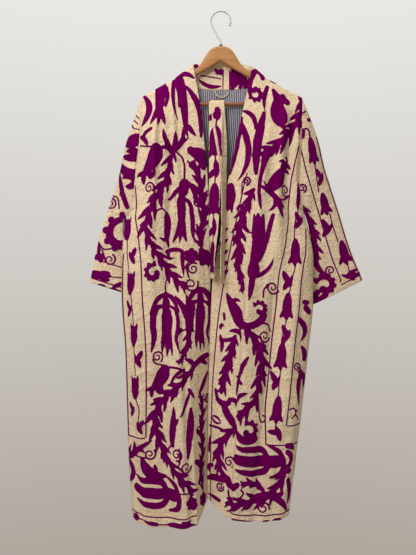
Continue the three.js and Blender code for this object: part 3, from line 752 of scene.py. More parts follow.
# %% Hanging tulips
MOTIFS = read_motifs("""
tulip: it hangs from its stem, with two small sepals, a full middle and two loose outer petals
0 1 2|0 -8 5|1 -17 8.5|0 -26 6
0 -1 3|-30 -10 5|-56 -34 1.2
0 -1 3|24 -9 4.5|44 -30 1.2
0 -22 6|2 -38 12|2 -54 12|0 -68 9
-5 -62 5.5|-10 -80 4|-13 -95 1
3 -66 6|5 -84 4|5 -100 1
9 -58 5|17 -80 4|23 -99 1
-8 -20 3|-34 -25 5.5|-46 -46 6.5|-40 -72 5.5|-50 -94 1.2
10 -20 2|34 -28 3.5|42 -52 4|38 -72 3.5|47 -92 1
lying: a long tulip with an open mouth, a petal curling along each side and two narrow sepals
0 0 2|5 -16 14.5|3 -34 11.5|4 -50 12.5|0 -75 12|-10 -98 10
-8 -33 5|-28 -43 6.5|-34 -66 7|-37 -86 5.5|-49 -100 1.2
18 -31 5|35 -42 7|38 -61 7|33 -80 6|22 -98 2
0 -1 3|-28 -13 5|-45 -34 1.5
0 -1 3|20 -2 5|42 -8 5.5|52 -28 2.5
broad: the wide one on the shoulder
0 2 15|0 -25 15|2 -50 12.5|5 -70 9
-2 -62 8|-12 -82 6|-24 -98 1.2
8 -68 7|10 -86 5|9 -100 1.2
12 -64 7|30 -84 4.5|40 -96 1.2
20 -5 5|30 -28 5|27 -50 4
crowned: a hooded one with curling arms and three long legs
-2 -2 3|0 -9 10.5|2 -18 11|-2 -27 7
-8 -12 4|-24 -20 4.5|-42 -31 3|-52 -31 1
6 -3 3|28 -12 4|42 -24 4|54 -33 3
0 -25 7|-4 -38 9.5|-5 -54 9|-8 -74 6
-12 -66 5|-20 -84 4.5|-36 -98 1
-5 -70 5|-6 -86 4|-10 -99 1
0 -68 5|6 -84 4.5|16 -97 1
6 -30 3|26 -38 4|31 -58 4.5|34 -78 4|42 -97 1
""")

# %% Bells, cups and upright flowers
MOTIFS |= read_motifs("""
longbell: a slim bell with straight sides, for the belt
0 44 16|0 28 26|0 0 29|0 -26 28
-16 -20 14|-34 -36 11|-50 -50 3
16 -20 14|34 -36 11|50 -48 3
slim: a slim hanging bell with a single hook
0 2 3|0 -12 17|0 -35 20|0 -60 17|2 -78 10
0 -75 10|16 -92 6|20 -100 2
0 -70 12|-30 -78 8|-80 -72 3
closed: a closed bud that stands up, with one leaf
-6 -50 10|-10 -20 18|-2 10 16|6 30 10|10 50 3
10 0 8|40 10 7|60 20 3
12 24 6|30 36 2
cup: a cup with three points, for the border chain
0 -40 19|0 -15 31|0 10 30
-20 8 13|-33 30 9|-45 50 2
0 10 20|0 30 10|0 43 2
20 8 13|33 30 9|45 50 2
bell: a hanging bell with flared lips
0 44 10|0 26 19|0 0 24|0 -24 22
-12 -10 12|-30 -32 10|-48 -44 4
0 -24 20|0 -38 12|2 -50 5
12 -10 12|30 -30 10|46 -40 4
longcup: a tall upright flower: a crown of points over a narrow waist and a round foot
-32 50 3|-24 36 9|-20 16 12
0 50 3|2 36 12|2 10 19|-10 -12 17
34 50 2|26 36 9|20 14 12
-2 0 19|-15 -18 15|-22 -30 13
-22 -28 13|-22 -40 19|-30 -50 9
""")

# %% Sprigs, buds, birds and small flowers
MOTIFS |= read_motifs("""
sprig: a small forked leaf between two bells of the border
-16 -10 6|10 6 17|26 30 14|36 50 3
-12 -8 10|14 -20 17|34 -36 10|46 -48 2
-30 22 3|-20 2 8|-10 -16 6
bud: a leaning bud with a hooked foot
10 4 20|6 -12 24|-6 -34 20|-22 -56 11|-32 -66 5
-28 -60 7|-42 -66 5|-54 -74 1.5
-14 -52 9|0 -66 8.5|12 -58 5|12 -46 2
-30 -62 7|-28 -78 6|-24 -90 1.5
dropbud: a plain drop
0 0 32|0 30 30|0 55 10
bird: a perching bird: body, head and beak, crest and tail feathers
-40 -42 6|-20 -28 20|2 -4 25|14 20 14|20 38 12
14 36 10|24 46 10|40 44 7|52 36 2
20 40 7|10 52 6|-4 50 2
30 48 5|34 62 3.5|24 68 3|16 64 1.5
22 30 8|40 26 5|50 20 1.5
-36 -38 6|-50 -30 3|-60 -20 1.5
pear: a curving pear with two leaves
-18 -30 20|-12 -18 30|-2 2 22|6 20 13|6 34 11|0 50 5
6 30 10|26 24 13|44 14 10
20 26 8|36 34 4|44 30 1.5
-14 -42 5|-2 -50 3
flower: a round centre with six round petals
0 0 24|2 2 24
28 10 17|30 10 17
6 32 17|8 32 17
-26 20 17|-28 20 17
-28 -14 17|-30 -14 17
0 -32 17|2 -32 17
26 -22 15|28 -22 15
""")


# %% Place a motif
def place(strokes, x, z, angle, width, height, mirror):
    turn = math.radians(angle)
    c, s = math.cos(turn), math.sin(turn)
    placed = []
    for stroke in strokes:
        p = bend_through(stroke)
        px, pz = p[:, 0] * width * mirror, p[:, 1] * height
        size = p[:, 2] * math.sqrt(abs(width * height))
        placed.append(np.stack([x + c * px - s * pz, z + s * px + c * pz, size], axis=1))
    return placed


print("strokes in a placed tulip:", len(place(MOTIFS["tulip"], 0, 0, 0, 70, 140, 1)))

# %% Curls that are worked out
# A spiral closes in on its middle. Scallops are a curl that thickens, with lobes on its outer side.
SPIRAL = {"turns": 1.45, "thick": 2.3, "closes": 0.8, "thins": 0.3}
SCALLOPS = {"sweep": 1.55, "radius": 0.62, "closes": 0.3, "thick": 0.1, "swells": 0.12}
LOBES = {"count": 7, "from": 0.03, "over": 0.82, "out": 0.17, "half": 0.125}


def curl(x, z, radius, spin, width):
    return np.stack([x + radius * np.cos(spin), z + radius * np.sin(spin), width], axis=1)


def spiral(x, z, angle, size, mirror):
    t = np.linspace(0, 1, 40)
    radius = size * (1 - SPIRAL["closes"] * t)
    spin = math.radians(angle) + mirror * t * SPIRAL["turns"] * 2 * math.pi
    width = SPIRAL["thick"] * (1 - SPIRAL["thins"] * t)
    return [curl(x, z, radius, spin, width)]


def scallops(x, z, angle, size, mirror):
    t = np.linspace(0, 1, 30)
    spin = math.radians(angle) + mirror * t * SCALLOPS["sweep"] * math.pi
    radius_at = lambda t: size * (SCALLOPS["radius"] - SCALLOPS["closes"] * t)
    width = size * (SCALLOPS["thick"] + SCALLOPS["swells"] * t)
    strokes = [curl(x, z, radius_at(t), spin, width)]
    for k in range(LOBES["count"]):
        spot = LOBES["from"] + LOBES["over"] * k / (LOBES["count"] - 1)
        turn = math.radians(angle) + mirror * spot * SCALLOPS["sweep"] * math.pi
        out = radius_at(spot) + size * LOBES["out"]
        lobe = [x + out * math.cos(turn), z + out * math.sin(turn), size * LOBES["half"]]
        strokes.append(np.array([lobe] * 2))
        strokes[-1][1, :2] += 0.01
    return strokes


print("strokes in a scalloped curl:", len(scallops(0, 0, 0, 30, 1)))

# %% Vines and stems
# The leaves stand in pairs along the stem, the larger of the two on each side in turn. Shares of a
# leaf's size: how far out and on from its root its belly and tip lie, and its belly's half width.
VINE_LEAF = {"belly_out": 0.36, "belly_on": 0.2, "belly": 0.19, "tip_out": 0.78, "tip_on": 0.86}
VINE_PITCH = 1.35
VINE_ENDS = 0.3
SECOND_LEAF = {"share": 0.72, "on": 0.4}
LEAF_TIP = 1.7


def vine_leaf(root, out, forward, size, share, tip_on, root_half):
    out, forward = out * size * share, forward * size * share
    belly = root + out * VINE_LEAF["belly_out"] + forward * VINE_LEAF["belly_on"]
    tip = root + out * VINE_LEAF["tip_out"] + forward * tip_on
    knots = [[*root, root_half], [*belly, size * share * VINE_LEAF["belly"]], [*tip, LEAF_TIP]]
    return bend_through(knots, per_span=5)


def vine(points, thick, tooth, pitch, mirror):
    """A leafy stem with pointed leaves, growing from its first point to its last."""
    path = bend_through([[x, z, 1] for x, z in points], per_span=14)
    step = np.hypot(*np.diff(path[:, :2], axis=0).T)
    along = np.concatenate([[0], np.cumsum(step)])
    total = along[-1]
    swell = np.sin(np.pi * np.clip(along / total, 0.03, 0.97)) ** 0.5
    path[:, 2] = thick * (0.3 + 0.6 * swell)
    strokes = [path]
    way = mirror
    gap = pitch * VINE_PITCH
    for k, spot in enumerate(np.arange(gap * VINE_ENDS, total - gap * VINE_ENDS, gap)):
        i = min(int(np.searchsorted(along, spot)), len(path) - 2)
        forward = path[i + 1, :2] - path[i, :2]
        forward /= np.hypot(*forward) + 1e-9
        size = tooth * (0.82 + 0.36 * math.sin(math.pi * spot / total)) * (1 + 0.16 * math.sin(2.4 * k))
        tip_on = VINE_LEAF["tip_on"] + 0.1 * math.sin(1.7 * k)
        for turned, share in ((way, 1.0), (-way, SECOND_LEAF["share"])):
            out = np.array([-forward[1], forward[0]]) * turned
            root = path[i, :2] + forward * (0 if turned == way else gap * SECOND_LEAF["on"])
            strokes.append(vine_leaf(root, out, forward, size, share, tip_on, thick * 0.8))
        way = -way
    return strokes


def stem(points, thick):
    return [bend_through([[x, z, thick] for x, z in points])]


print("strokes in a short vine:", len(vine([(0, 0), (0, 60)], 6, 20, 13, 1)))

# %% Single leaves
# How full a leaf is, from its root to its tip, as a share of its half width.
LEAF_FORMS = {
    "leaf": [0.35, 0.88, 1, 0.85, 0.32],
    "claw": [0.85, 1, 0.9, 0.6, 0.12],
    "pad": [0.8, 1, 1, 0.95, 0.75],
}


def leaf(kind, root, tip, half, bend):
    """A leaf from its root to its tip. Its middle bows aside by a share of its length."""
    root, tip = np.array(root), np.array(tip)
    t = np.linspace(0, 1, 13)[:, None]
    aside = np.array([root[1] - tip[1], tip[0] - root[0]]) * bend
    path = mix(root, tip, t) + 4 * t * (1 - t) * aside
    return [np.concatenate([path, half * np.interp(t, np.linspace(0, 1, 5), LEAF_FORMS[kind])], axis=1)]


WORKED_OUT = {"spiral": spiral, "scallops": scallops, "vine": vine, "stem": stem}
print("motif kinds:", ", ".join([*MOTIFS, *WORKED_OUT, *LEAF_FORMS]))

# %% [markdown]
# ## Where the motifs go
# Each table row places one motif on a panel by the spot where it is seen from the front: kind, x, z,
# angle, width, height, mirror. A spiral or a scalloped curl has one size. A leaf, claw or pad has its
# half width and bend, then its root and tip. A vine has its half width, leaf size, pitch and side,
# and a stem its half width, then the points they pass. They could be painted on a flat image. Rows
# keep every motif editable, and the script looks up which point of the cloth lies at each spot, so
# a motif stays on its own panel and follows the cloth round every fold.


# %% Read the rows
def read_rows(text):
    """One motif to a line: its kind and numbers, then its points behind upright bars."""
    rows = []
    for line in text.strip().splitlines():
        head, *points = line.split("|")
        kind, *numbers = head.split()
        rows.append((kind, [float(v) for v in numbers], [tuple(float(v) for v in p.split()) for p in points]))
    print("rows read:", len(rows))
    return rows


def mirrored(rows):
    """Each row worked on both halves, as a maker does with one pricked pattern."""
    both = []
    for kind, numbers, points in rows:
        for way in (1, -1):
            turned = list(numbers)
            if kind in ("spiral", "scallops") and way < 0:
                turned[2] = 180 - turned[2]
            elif kind in MOTIFS:
                turned[2] *= way
            if not points:
                turned[0] *= way
            if kind != "stem":
                turned[-1] *= way
            both.append((kind, turned, [(way * p[0], *p[1:]) for p in points]))
    return both


PATTERN = {}
print("one row:", read_rows("stem 1.5|0 0|4 10"))

# %% Motifs on the right front
PATTERN["front_right"] = read_rows("""
stem 1.5|-240 -491|-244 -543
stem 1.5|-245 -606|-244 -648|-240 -684
stem 1.5|-235 -752|-232 -794|-230 -825
stem 1.5|-228 -885|-225 -925|-225 -961
stem 1.5|-223 -1021|-214 -1055|-219 -1102
cup -245 -575 0 25 60 1
cup -238 -718 0 25 60 1
cup -229 -854 0 25 60 1
cup -225 -990 0 25 60 1
sprig -234 -645 -8 26 44 1
sprig -239 -786 5 26 44 -1
sprig -219 -917 -8 26 44 1
sprig -230 -1047 10 23 39 -1
sprig -215 -1094 -10 26 37 1
broad -163 -191 -2 68 112 1
leaf 8 0.2|-200 -231|-206 -306
claw 4.5 -0.1|-123 -191|-113 -294
claw 4 -0.3|-182 -315|-198 -356
leaf 5 0.15|-211 -337|-193 -358
stem 2|-211 -360|-188 -361|-159 -365|-133 -366
claw 7 0.05|-127 -379|-151 -316
claw 7 -0.05|-123 -374|-119 -320
claw 6 -0.2|-123 -371|-99 -311
claw 5 -0.05|-133 -366|-159 -365
claw 4 0.05|-112 -361|-84 -339
bud -175 -371 -10 76 99 1
stem 2.4|-118 -374|-103 -389|-96 -413|-97 -447
vine 6.5 25 14 1|-125 -372|-136 -408|-139 -434|-151 -463|-171 -497|-188 -533|-196 -570|-188 -606|-174 -635
vine 6 21 13 -1|-178 -627|-149 -666|-123 -700|-97 -731
spiral -188 -470 -20 16 1
stem 2.2|-175 -478|-179 -497|-185 -508
stem 2.2|-171 -533|-159 -524|-148 -527|-142 -541
slim -142 -536 0 26 89 1
crowned -96 -445 0 78 170 1
spiral -61 -510 60 12 -1
scallops -177 -692 75 33 1
pad 4.5 0.1|-142 -637|-104 -634
claw 4 0|-102 -636|-97 -702
claw 3.5 -0.5|-138 -638|-120 -651
stem 2|-141 -703|-145 -726|-143 -747
tulip -145 -744 0 78 162 1
claw 8 -0.05|-83 -825|-120 -751
claw 8 0|-79 -831|-90 -747
claw 6 0|-78 -815|-71 -768
vine 6 15 15 1|-78 -825|-83 -859|-91 -893|-109 -929
dropbud -111 -847 -60 18 23 1
stem 2|-104 -845|-94 -840|-83 -833
spiral -166 -911 -50 16 1
stem 2|-178 -919|-170 -929|-152 -932
bud -153 -948 -12 63 81 1
stem 2.6|-135 -937|-110 -944|-93 -952
pad 3 -0.15|-97 -946|-131 -979
vine 6.5 23 13 1|-76 -943|-93 -966|-115 -992|-140 -1013|-161 -1037|-172 -1071|-170 -1102|-156 -1144|-140 -1180
vine 6 20 13 -1|-144 -1172|-120 -1217|-97 -1240|-71 -1264
pad 7 0.1|-76 -945|-37 -906
claw 5 0|-52 -919|-36 -931
claw 5 -0.1|-72 -932|-94 -919
leaf 4 0.05|-83 -1005|-106 -1069
claw 3.5 0|-83 -998|-69 -1021
leaf 8 0|-78 -1046|-86 -1178
leaf 4 0.05|-76 -1050|-80 -1139
closed -126 -1092 0 23 99 1
stem 2.2|-125 -1138|-137 -1149|-146 -1167
spiral -116 -1169 -90 16 1
spiral -91 -1201 0 17 -1
stem 2|-109 -1154|-107 -1186|-111 -1201|-99 -1213
leaf 7 -0.2|-240 -1174|-225 -1134
claw 6 0.05|-226 -1165|-181 -1132
claw 5 0.3|-227 -1166|-198 -1162
claw 4 0.1|-239 -1180|-232 -1139
spiral -187 -1165 40 16 -1
stem 2|-222 -1170|-204 -1176|-187 -1178
pad 7 0.25|-236 -1185|-236 -1230
leaf 12 -0.2|-205 -1180|-146 -1222
claw 5 -0.1|-172 -1219|-174 -1193
lying -109 -1273 -90 89 128 1
flower -77 -1295 20 34 37 1
stem 1.7|-107 -1270|-86 -1269|-71 -1273
flower -223 -1328 0 20 20 1
claw 4 0|-167 -1349|-201 -1342
leaf 8 0|-136 -1351|-73 -1356
claw 4 -0.1|-99 -1347|-77 -1336
stem 1.7|-219 -1333|-201 -1340|-170 -1349|-138 -1350|-104 -1349
stem 1.7|-84 -1349|-63 -1354
""")

# %% Motifs on the right half of the band
PATTERN["collar_right"] = read_rows("""
leaf 6 0.35|-122 -197|-72 -183
claw 10 0|-106 -190|-86 -338
claw 5 0|-86 -309|-66 -335
leaf 7 0.12|-91 -207|-53 -336
pad 3.5 0.05|-119 -194|-108 -256
pad 8 0.45|-82 -374|-46 -416
pad 10.5 0.05|-78 -371|-55 -397
vine 7.5 21 13 1|-52 -622|-54 -585|-43 -543|-49 -502|-54 -460|-71 -408
spiral -60 -506 0 13 -1
flower -78 -645 10 37 39 1
flower -45 -653 40 42 47 1
claw 5 0.3|-54 -633|-34 -681
spiral -73 -680 60 16 1
spiral -78 -721 20 20 -1
stem 2.2|-84 -703|-92 -679|-86 -664
pad 5 0.2|-63 -734|-28 -755
tulip -56 -731 2 78 162 1
pad 6 -0.1|-36 -908|-75 -944
leaf 6 0.05|-36 -950|-57 -1008
vine 6 17 13 1|-48 -1259|-51 -1206|-48 -1154|-52 -1102|-49 -1050|-55 -1008
spiral -36 -1021 80 12 1
spiral -57 -1102 0 13 -1
pad 7 0.3|-65 -1186|-57 -1238
leaf 3.5 0.05|-32 -1118|-33 -1162
flower -47 -1282 0 34 37 1
leaf 4.5 -0.15|-58 -188|-1 -206
claw 5 0.1|1 -172|-16 -160
leaf 4 0.25|0 -158|-15 -171
stem 1.6|-53 -177|-29 -180|-1 -185
leaf 4 0.1|-71 -147|-59 -161
""")

# %% Motifs on the left half of the band
PATTERN["collar_left"] = read_rows("""
leaf 8 0.2|31 -163|34 -208
pad 5 0.1|50 -168|50 -208
pad 3.5 0.1|63 -183|60 -209
stem 1.6|5 -162|5 -215
pad 5 0|30 -165|30 -212
stem 1.6|23 -165|23 -215
scallops 90 -222 200 29 1
pad 6 0.4|80 -169|109 -185
pad 6 -0.1|86 -173|77 -225
leaf 5.5 0.25|57 -270|89 -314
leaf 8 0|53 -285|21 -434
claw 7.5 0.15|55 -310|44 -451
cup 22 -497 178 27 78 1
spiral 66 -451 -80 12 1
stem 1.6|55 -455|54 -476|52 -497
claw 5 0.1|86 -476|57 -485
vine 7 20 13 1|81 -478|70 -512|55 -549|46 -585|46 -627|43 -664
claw 9 0.15|46 -637|36 -677
vine 6.5 14 12 -1|46 -669|51 -700|56 -721|57 -742
spiral 48 -524 0 10 1
claw 5 -0.25|63 -550|80 -587
claw 4 0|0 -589|19 -575
claw 4 0|0 -618|19 -604
claw 4 0|0 -647|19 -632
claw 4 0.05|0 -676|19 -661
claw 4 0|0 -699|19 -684
claw 15 0.05|56 -826|16 -746
claw 4 0.3|30 -768|52 -767
pad 2.5 0|8 -798|8 -815
claw 3.5 0.6|-1 -834|8 -833
leaf 5 0.3|22 -845|53 -870
vine 8.5 19 12 1|35 -858|29 -888|21 -919|12 -956|1 -1004
leaf 4.5 0.1|-1 -854|1 -899
pad 4 -0.1|1 -867|34 -862
pad 3.5 -0.05|-15 -997|-7 -1025
pad 7 -0.2|-9 -1023|20 -1030
claw 5 0.4|22 -1024|38 -1047
pad 9 -0.05|7 -1037|39 -1097
leaf 2.4 0.2|-23 -1065|0 -1085
leaf 2.4 -0.25|-23 -1065|0 -1086
stem 3|-29 -1091|-8 -1097|13 -1105|36 -1102
vine 7.5 22 13 1|40 -1097|18 -1115|0 -1141|-7 -1170|-3 -1201|8 -1233
leaf 4 0|-29 -1118|-32 -1160
claw 4.5 -0.5|-24 -1194|-27 -1215
leaf 8 0.1|-39 -1227|10 -1238
spiral 21 -1187 -60 16 1
spiral -4 -1251 10 13 -1
pad 8 -0.4|17 -1229|43 -1246
stem 2.2|18 -1259|23 -1277|44 -1284|57 -1269|52 -1259
claw 4 0|-5 -1286|-34 -1266
""")

# %% Motifs on the left front
PATTERN["front_left"] = read_rows("""
pear 152 -261 8 65 104 1
claw 5 -0.05|121 -207|115 -269
leaf 3 0|128 -187|147 -195
leaf 11 -0.05|112 -273|91 -431
claw 4 0.05|99 -324|115 -315
stem 2.6|145 -299|157 -309|168 -319
vine 7.5 25 13 1|208 -226|213 -254|204 -288|185 -316|159 -345|136 -366|107 -384
claw 10 -0.14|126 -376|104 -523
bird 150 -442 -8 70 81 1
leaf 5.5 0.05|105 -463|165 -522
claw 6 0.25|137 -487|124 -531
claw 6.5 0|141 -491|162 -549
spiral 168 -476 -60 17 -1
stem 2.4|152 -502|168 -500|179 -490
longcup 96 -622 0 44 162 1
claw 5.5 0|137 -542|103 -663
claw 4.5 -0.15|96 -699|137 -653
claw 7 0|85 -700|72 -763
spiral 134 -730 -30 18 -1
stem 2.2|121 -721|112 -737|110 -755
scallops 103 -785 150 27 -1
pad 9 0.15|112 -803|66 -831
vine 7.5 24 13 1|61 -823|76 -849|94 -878|104 -909|108 -943|101 -977|95 -1008
vine 7.5 21 13 -1|96 -1000|86 -1029|66 -1050|46 -1075
spiral 115 -858 -20 17 -1
stem 2.2|104 -825|122 -826|127 -844
leaf 6.5 -0.05|71 -913|42 -1008
claw 4 -0.05|52 -982|38 -962
claw 5 0.15|43 -1025|70 -1008
stem 1.9|98 -1019|100 -1055|102 -1079|111 -1082|115 -1071|109 -1065
scallops 76 -1107 120 33 -1
pad 8 -0.2|40 -1112|91 -1126
bell 193 -636 -6 34 68 1
bell 173 -779 -6 34 68 1
bell 157 -909 -6 34 68 1
bell 148 -1049 -6 34 68 1
sprig 206 -554 6 29 44 -1
sprig 177 -711 6 34 50 -1
sprig 174 -851 6 29 47 -1
sprig 143 -972 6 31 50 -1
sprig 146 -1108 60 34 42 -1
stem 1.5|199 -497|202 -517|196 -549|193 -601
stem 1.5|196 -669|189 -695|185 -721|178 -747
stem 1.5|171 -818|164 -841|157 -875
stem 1.5|160 -939|155 -966|151 -1011
stem 1.5|146 -1076|142 -1097|149 -1118
leaf 6 0.05|202 -457|200 -523
pad 5 0|217 -768|227 -769
pad 7 0|221 -783|230 -794
claw 7 0.3|206 -816|206 -872
claw 7 -0.15|218 -917|207 -883
spiral 197 -938 -70 13 1
claw 7 -0.1|209 -952|203 -1038
claw 5 0.1|216 -956|212 -992
stem 2|180 -1050|190 -1045|195 -1060|186 -1071
stem 2|201 -1050|194 -1061|202 -1073
lying 166 -1180 -90 86 138 1
claw 7 0.2|175 -1145|189 -1154
pad 7 0.3|176 -1162|175 -1199
pad 5 0|171 -1211|181 -1209
vine 6 13 10 1|111 -1259|94 -1247|70 -1243|54 -1244
vine 8 23 13 -1|167 -1216|150 -1243|129 -1269|102 -1286|68 -1294|39 -1300|16 -1293
claw 8 0.1|125 -1272|173 -1315
claw 6 -0.15|139 -1274|164 -1264
claw 8 0.1|175 -1235|173 -1294
spiral 109 -1306 -10 17 1
claw 4 -0.05|31 -1340|85 -1341
pad 3 0|113 -1342|125 -1341
pad 3.5 0|139 -1340|154 -1336
""")

# %% Motifs on the right sleeve
PATTERN["sleeve_right"] = read_rows("""
claw 8 -0.2|-214 -337|-252 -362
pad 7 -0.1|-243 -358|-213 -350
claw 8 0.1|-219 -387|-256 -387
claw 7 0|-216 -397|-252 -393
claw 7 -0.05|-214 -377|-248 -375
leaf 10 -0.25|-261 -410|-222 -426
claw 8 -0.15|-228 -444|-258 -445
claw 8 0.25|-228 -457|-249 -464
claw 6 0.05|-245 -520|-266 -429
claw 5 0.2|-261 -486|-256 -508
stem 1.7|-234 -306|-227 -315|-214 -316
stem 1.7|-222 -281|-214 -288
stem 1.7|-227 -293|-217 -302
spiral -288 -513 80 15 -1
stem 2|-282 -491|-270 -498|-266 -524
scallops -258 -592 80 66 1
pad 7 0.5|-326 -651|-315 -660
claw 4 -0.05|-320 -637|-320 -609
stem 2|-318 -614|-305 -630|-278 -627
spiral -290 -657 60 16 -1
stem 2|-310 -632|-304 -650|-303 -664
pad 10.5 0|-336 -696|-311 -700
claw 5 0|-311 -691|-290 -693
claw 6 0|-308 -700|-287 -701
claw 5 0|-311 -708|-291 -712
stem 1.6|-290 -701|-260 -705
pad 4.5 0|-279 -727|-258 -720
pad 3.5 0|-320 -725|-304 -729
pad 3 0|-290 -737|-264 -745
""")

# %% Motifs on the left sleeve
PATTERN["sleeve_left"] = read_rows("""
pad 4.5 0|229 -292|231 -293
stem 2|214 -276|221 -270
stem 2.2|214 -319|223 -313|229 -322|232 -339
leaf 4 0.1|210 -316|211 -341
bell 239 -372 10 29 70 1
sprig 261 -440 14 23 47 -1
bell 271 -511 14 34 57 1
sprig 279 -574 8 37 47 -1
bell 321 -638 14 39 63 1
leaf 5 -0.15|316 -698|364 -691
claw 4.5 0.05|331 -700|360 -679
claw 4 0|339 -703|350 -709
stem 1.6|245 -405|249 -439|256 -481
stem 1.6|284 -537|292 -570|305 -609
stem 1.6|330 -664|333 -682|338 -695
vine 7 18 13 1|213 -520|225 -543|240 -580|245 -622|252 -658
claw 6 -0.15|245 -648|284 -703
spiral 286 -685 -90 14 -1
spiral 212 -470 -60 12 1
scallops 272 -725 160 39 -1
claw 7 0|253 -742|214 -789
pad 7 0.15|277 -742|245 -765
pad 4 0|222 -737|230 -739
stem 2.4|214 -748|223 -738|235 -742|231 -752|217 -755
pad 5 0|237 -666|222 -703
""")

# %% Motifs on the back
BACK_HALF = """
cup 188 -560 0 25 60 1
sprig 190 -635 -8 28 46 1
cup 190 -705 0 25 60 1
sprig 192 -780 8 28 46 -1
cup 190 -850 0 25 60 1
sprig 188 -925 -8 28 46 1
cup 184 -995 0 25 60 1
sprig 182 -1065 8 28 46 -1
stem 1.6|188 -590|192 -635|189 -675
stem 1.6|190 -735|193 -780|190 -820
stem 1.6|190 -880|190 -925|185 -965
stem 1.6|184 -1025|184 -1065|180 -1105
vine 7.5 24 13 1|20 -1160|70 -1100|104 -1010|96 -900|60 -820|70 -720|110 -640
vine 7.5 24 13 -1|108 -640|92 -560|100 -470|80 -400|96 -320
crowned 46 -430 0 84 180 1
tulip 30 -640 0 84 165 1
tulip 42 -860 0 84 165 -1
bud 160 -420 0 70 88 -1
bird 160 -545 0 78 84 1
longcup 140 -790 0 48 165 1
spiral 120 -700 20 18 1
spiral 30 -1070 200 18 1
spiral 148 -1040 80 17 -1
scallops 140 -920 100 30 1
tulip 188 -1190 90 90 150 1
bud 88 -1040 30 60 76 -1
flower 26 -1200 0 40 44 1
tulip 150 -240 0 74 150 1
tulip 92 -210 0 70 140 -1
stem 2.2|160 -420|130 -440|98 -470
stem 2.4|46 -430|60 -410|82 -400
stem 2.4|30 -640|50 -630|92 -610
stem 2.4|42 -860|52 -840|66 -830
leaf 6 0|20 -1262|160 -1272
sprig 128 -1240 60 34 50 1
"""
BACK_MIDDLE = """
pear 2 -300 0 66 110 1
stem 2.4|2 -340|4 -400|0 -470
longcup 0 -1010 0 50 170 1
scallops 0 -770 60 28 1
flower 0 -560 15 44 48 1
"""
PATTERN["back"] = mirrored(read_rows(BACK_HALF)) + read_rows(BACK_MIDDLE)

# %% Motifs on the rear of the sleeves
PATTERN["sleeve_right_rear"] = read_rows("""
vine 7 22 13 1|-226 -300|-250 -380|-262 -470|-262 -560|-250 -650
tulip -238 -420 8 60 130 1
scallops -290 -520 40 28 1
bud -235 -610 0 56 76 1
spiral -300 -600 30 15 1
sprig -286 -660 40 34 46 1
cup -300 -716 70 26 60 1
cup -228 -742 70 26 60 1
""")
PATTERN["sleeve_left_rear"] = read_rows("""
bell 262 -380 10 34 66 1
sprig 284 -450 8 36 46 -1
bell 298 -520 14 34 66 1
sprig 322 -592 8 36 46 -1
bell 342 -660 14 34 66 1
stem 1.6|244 -310|262 -380|298 -520|342 -660|352 -720
vine 7 20 13 1|226 -330|240 -420|250 -520|270 -620|296 -700
scallops 240 -640 40 28 1
spiral 290 -740 30 15 1
bud 240 -730 0 56 70 1
""")

# %% Motifs along the belt
BELT_PITCH = 151
BELT_REPEATS = 12
BELT_REPEAT = read_rows("""
longbell 0 40 0 37 79 1
stem 2|0 78|1 115|0 154
sprig 1 116 150 36 54 1
""")
PATTERN["belt"] = []
for repeat in range(BELT_REPEATS):
    for kind, numbers, points in BELT_REPEAT:
        up = BELT_PITCH * repeat
        numbers = [numbers[0], numbers[1] + up, *numbers[2:]] if kind in MOTIFS else numbers
        PATTERN["belt"].append((kind, numbers, [(x, z + up) for x, z in points]))
print("motifs placed:", sum(len(rows) for rows in PATTERN.values()))

# %% [markdown]
# ## Working a panel
# Motifs projected straight from the front would smear where the cloth turns away. So each spot is
# looked up once on the hanging cloth, and its strokes are worked in the flat drawing of the panel.
# Thin purple lines also frame the borders. A line is too thin for the grid of points, but its distance
# changes evenly over the cloth, so the signed distance itself is stored and the material draws it.

# %% Draw a panel's embroidery
# How far yarn spreads beyond a drawn outline, and how much of that each kind takes: a crowded motif
# is worked tighter.
FULLER = 1.35
SPREAD = {"leaf": 1.22, "claw": 1.22, "pad": 1.15, "vine": 0.95, "stem": 0.45, "spiral": 0.45}
SPREAD_PLACED = 0.9
# Where two layers lie at one spot, each millimetre of depth counts this much against the rear one.
FRONT_FIRST = 0.3
# The place given to points that a drawing leaves out, and the gap given where no line runs.
AWAY = 1e6
FAR_LINE = 60.0


def row_lengths(grid, level=False):
    """How far along its row each point lies. Level lengths leave the folds' depth out."""
    step = np.linalg.norm(np.diff(grid[..., :2] if level else grid, axis=1), axis=2)
    return np.concatenate([np.zeros((len(grid), 1)), np.cumsum(step, axis=1)], axis=1)


def fill_out(path, share):
    """Yarn spreads a little beyond its drawn outline, least at a sharp tip."""
    path[:, 2] += FULLER * share * np.clip(path[:, 2] / 3.0, 0.15, 1)
    return path


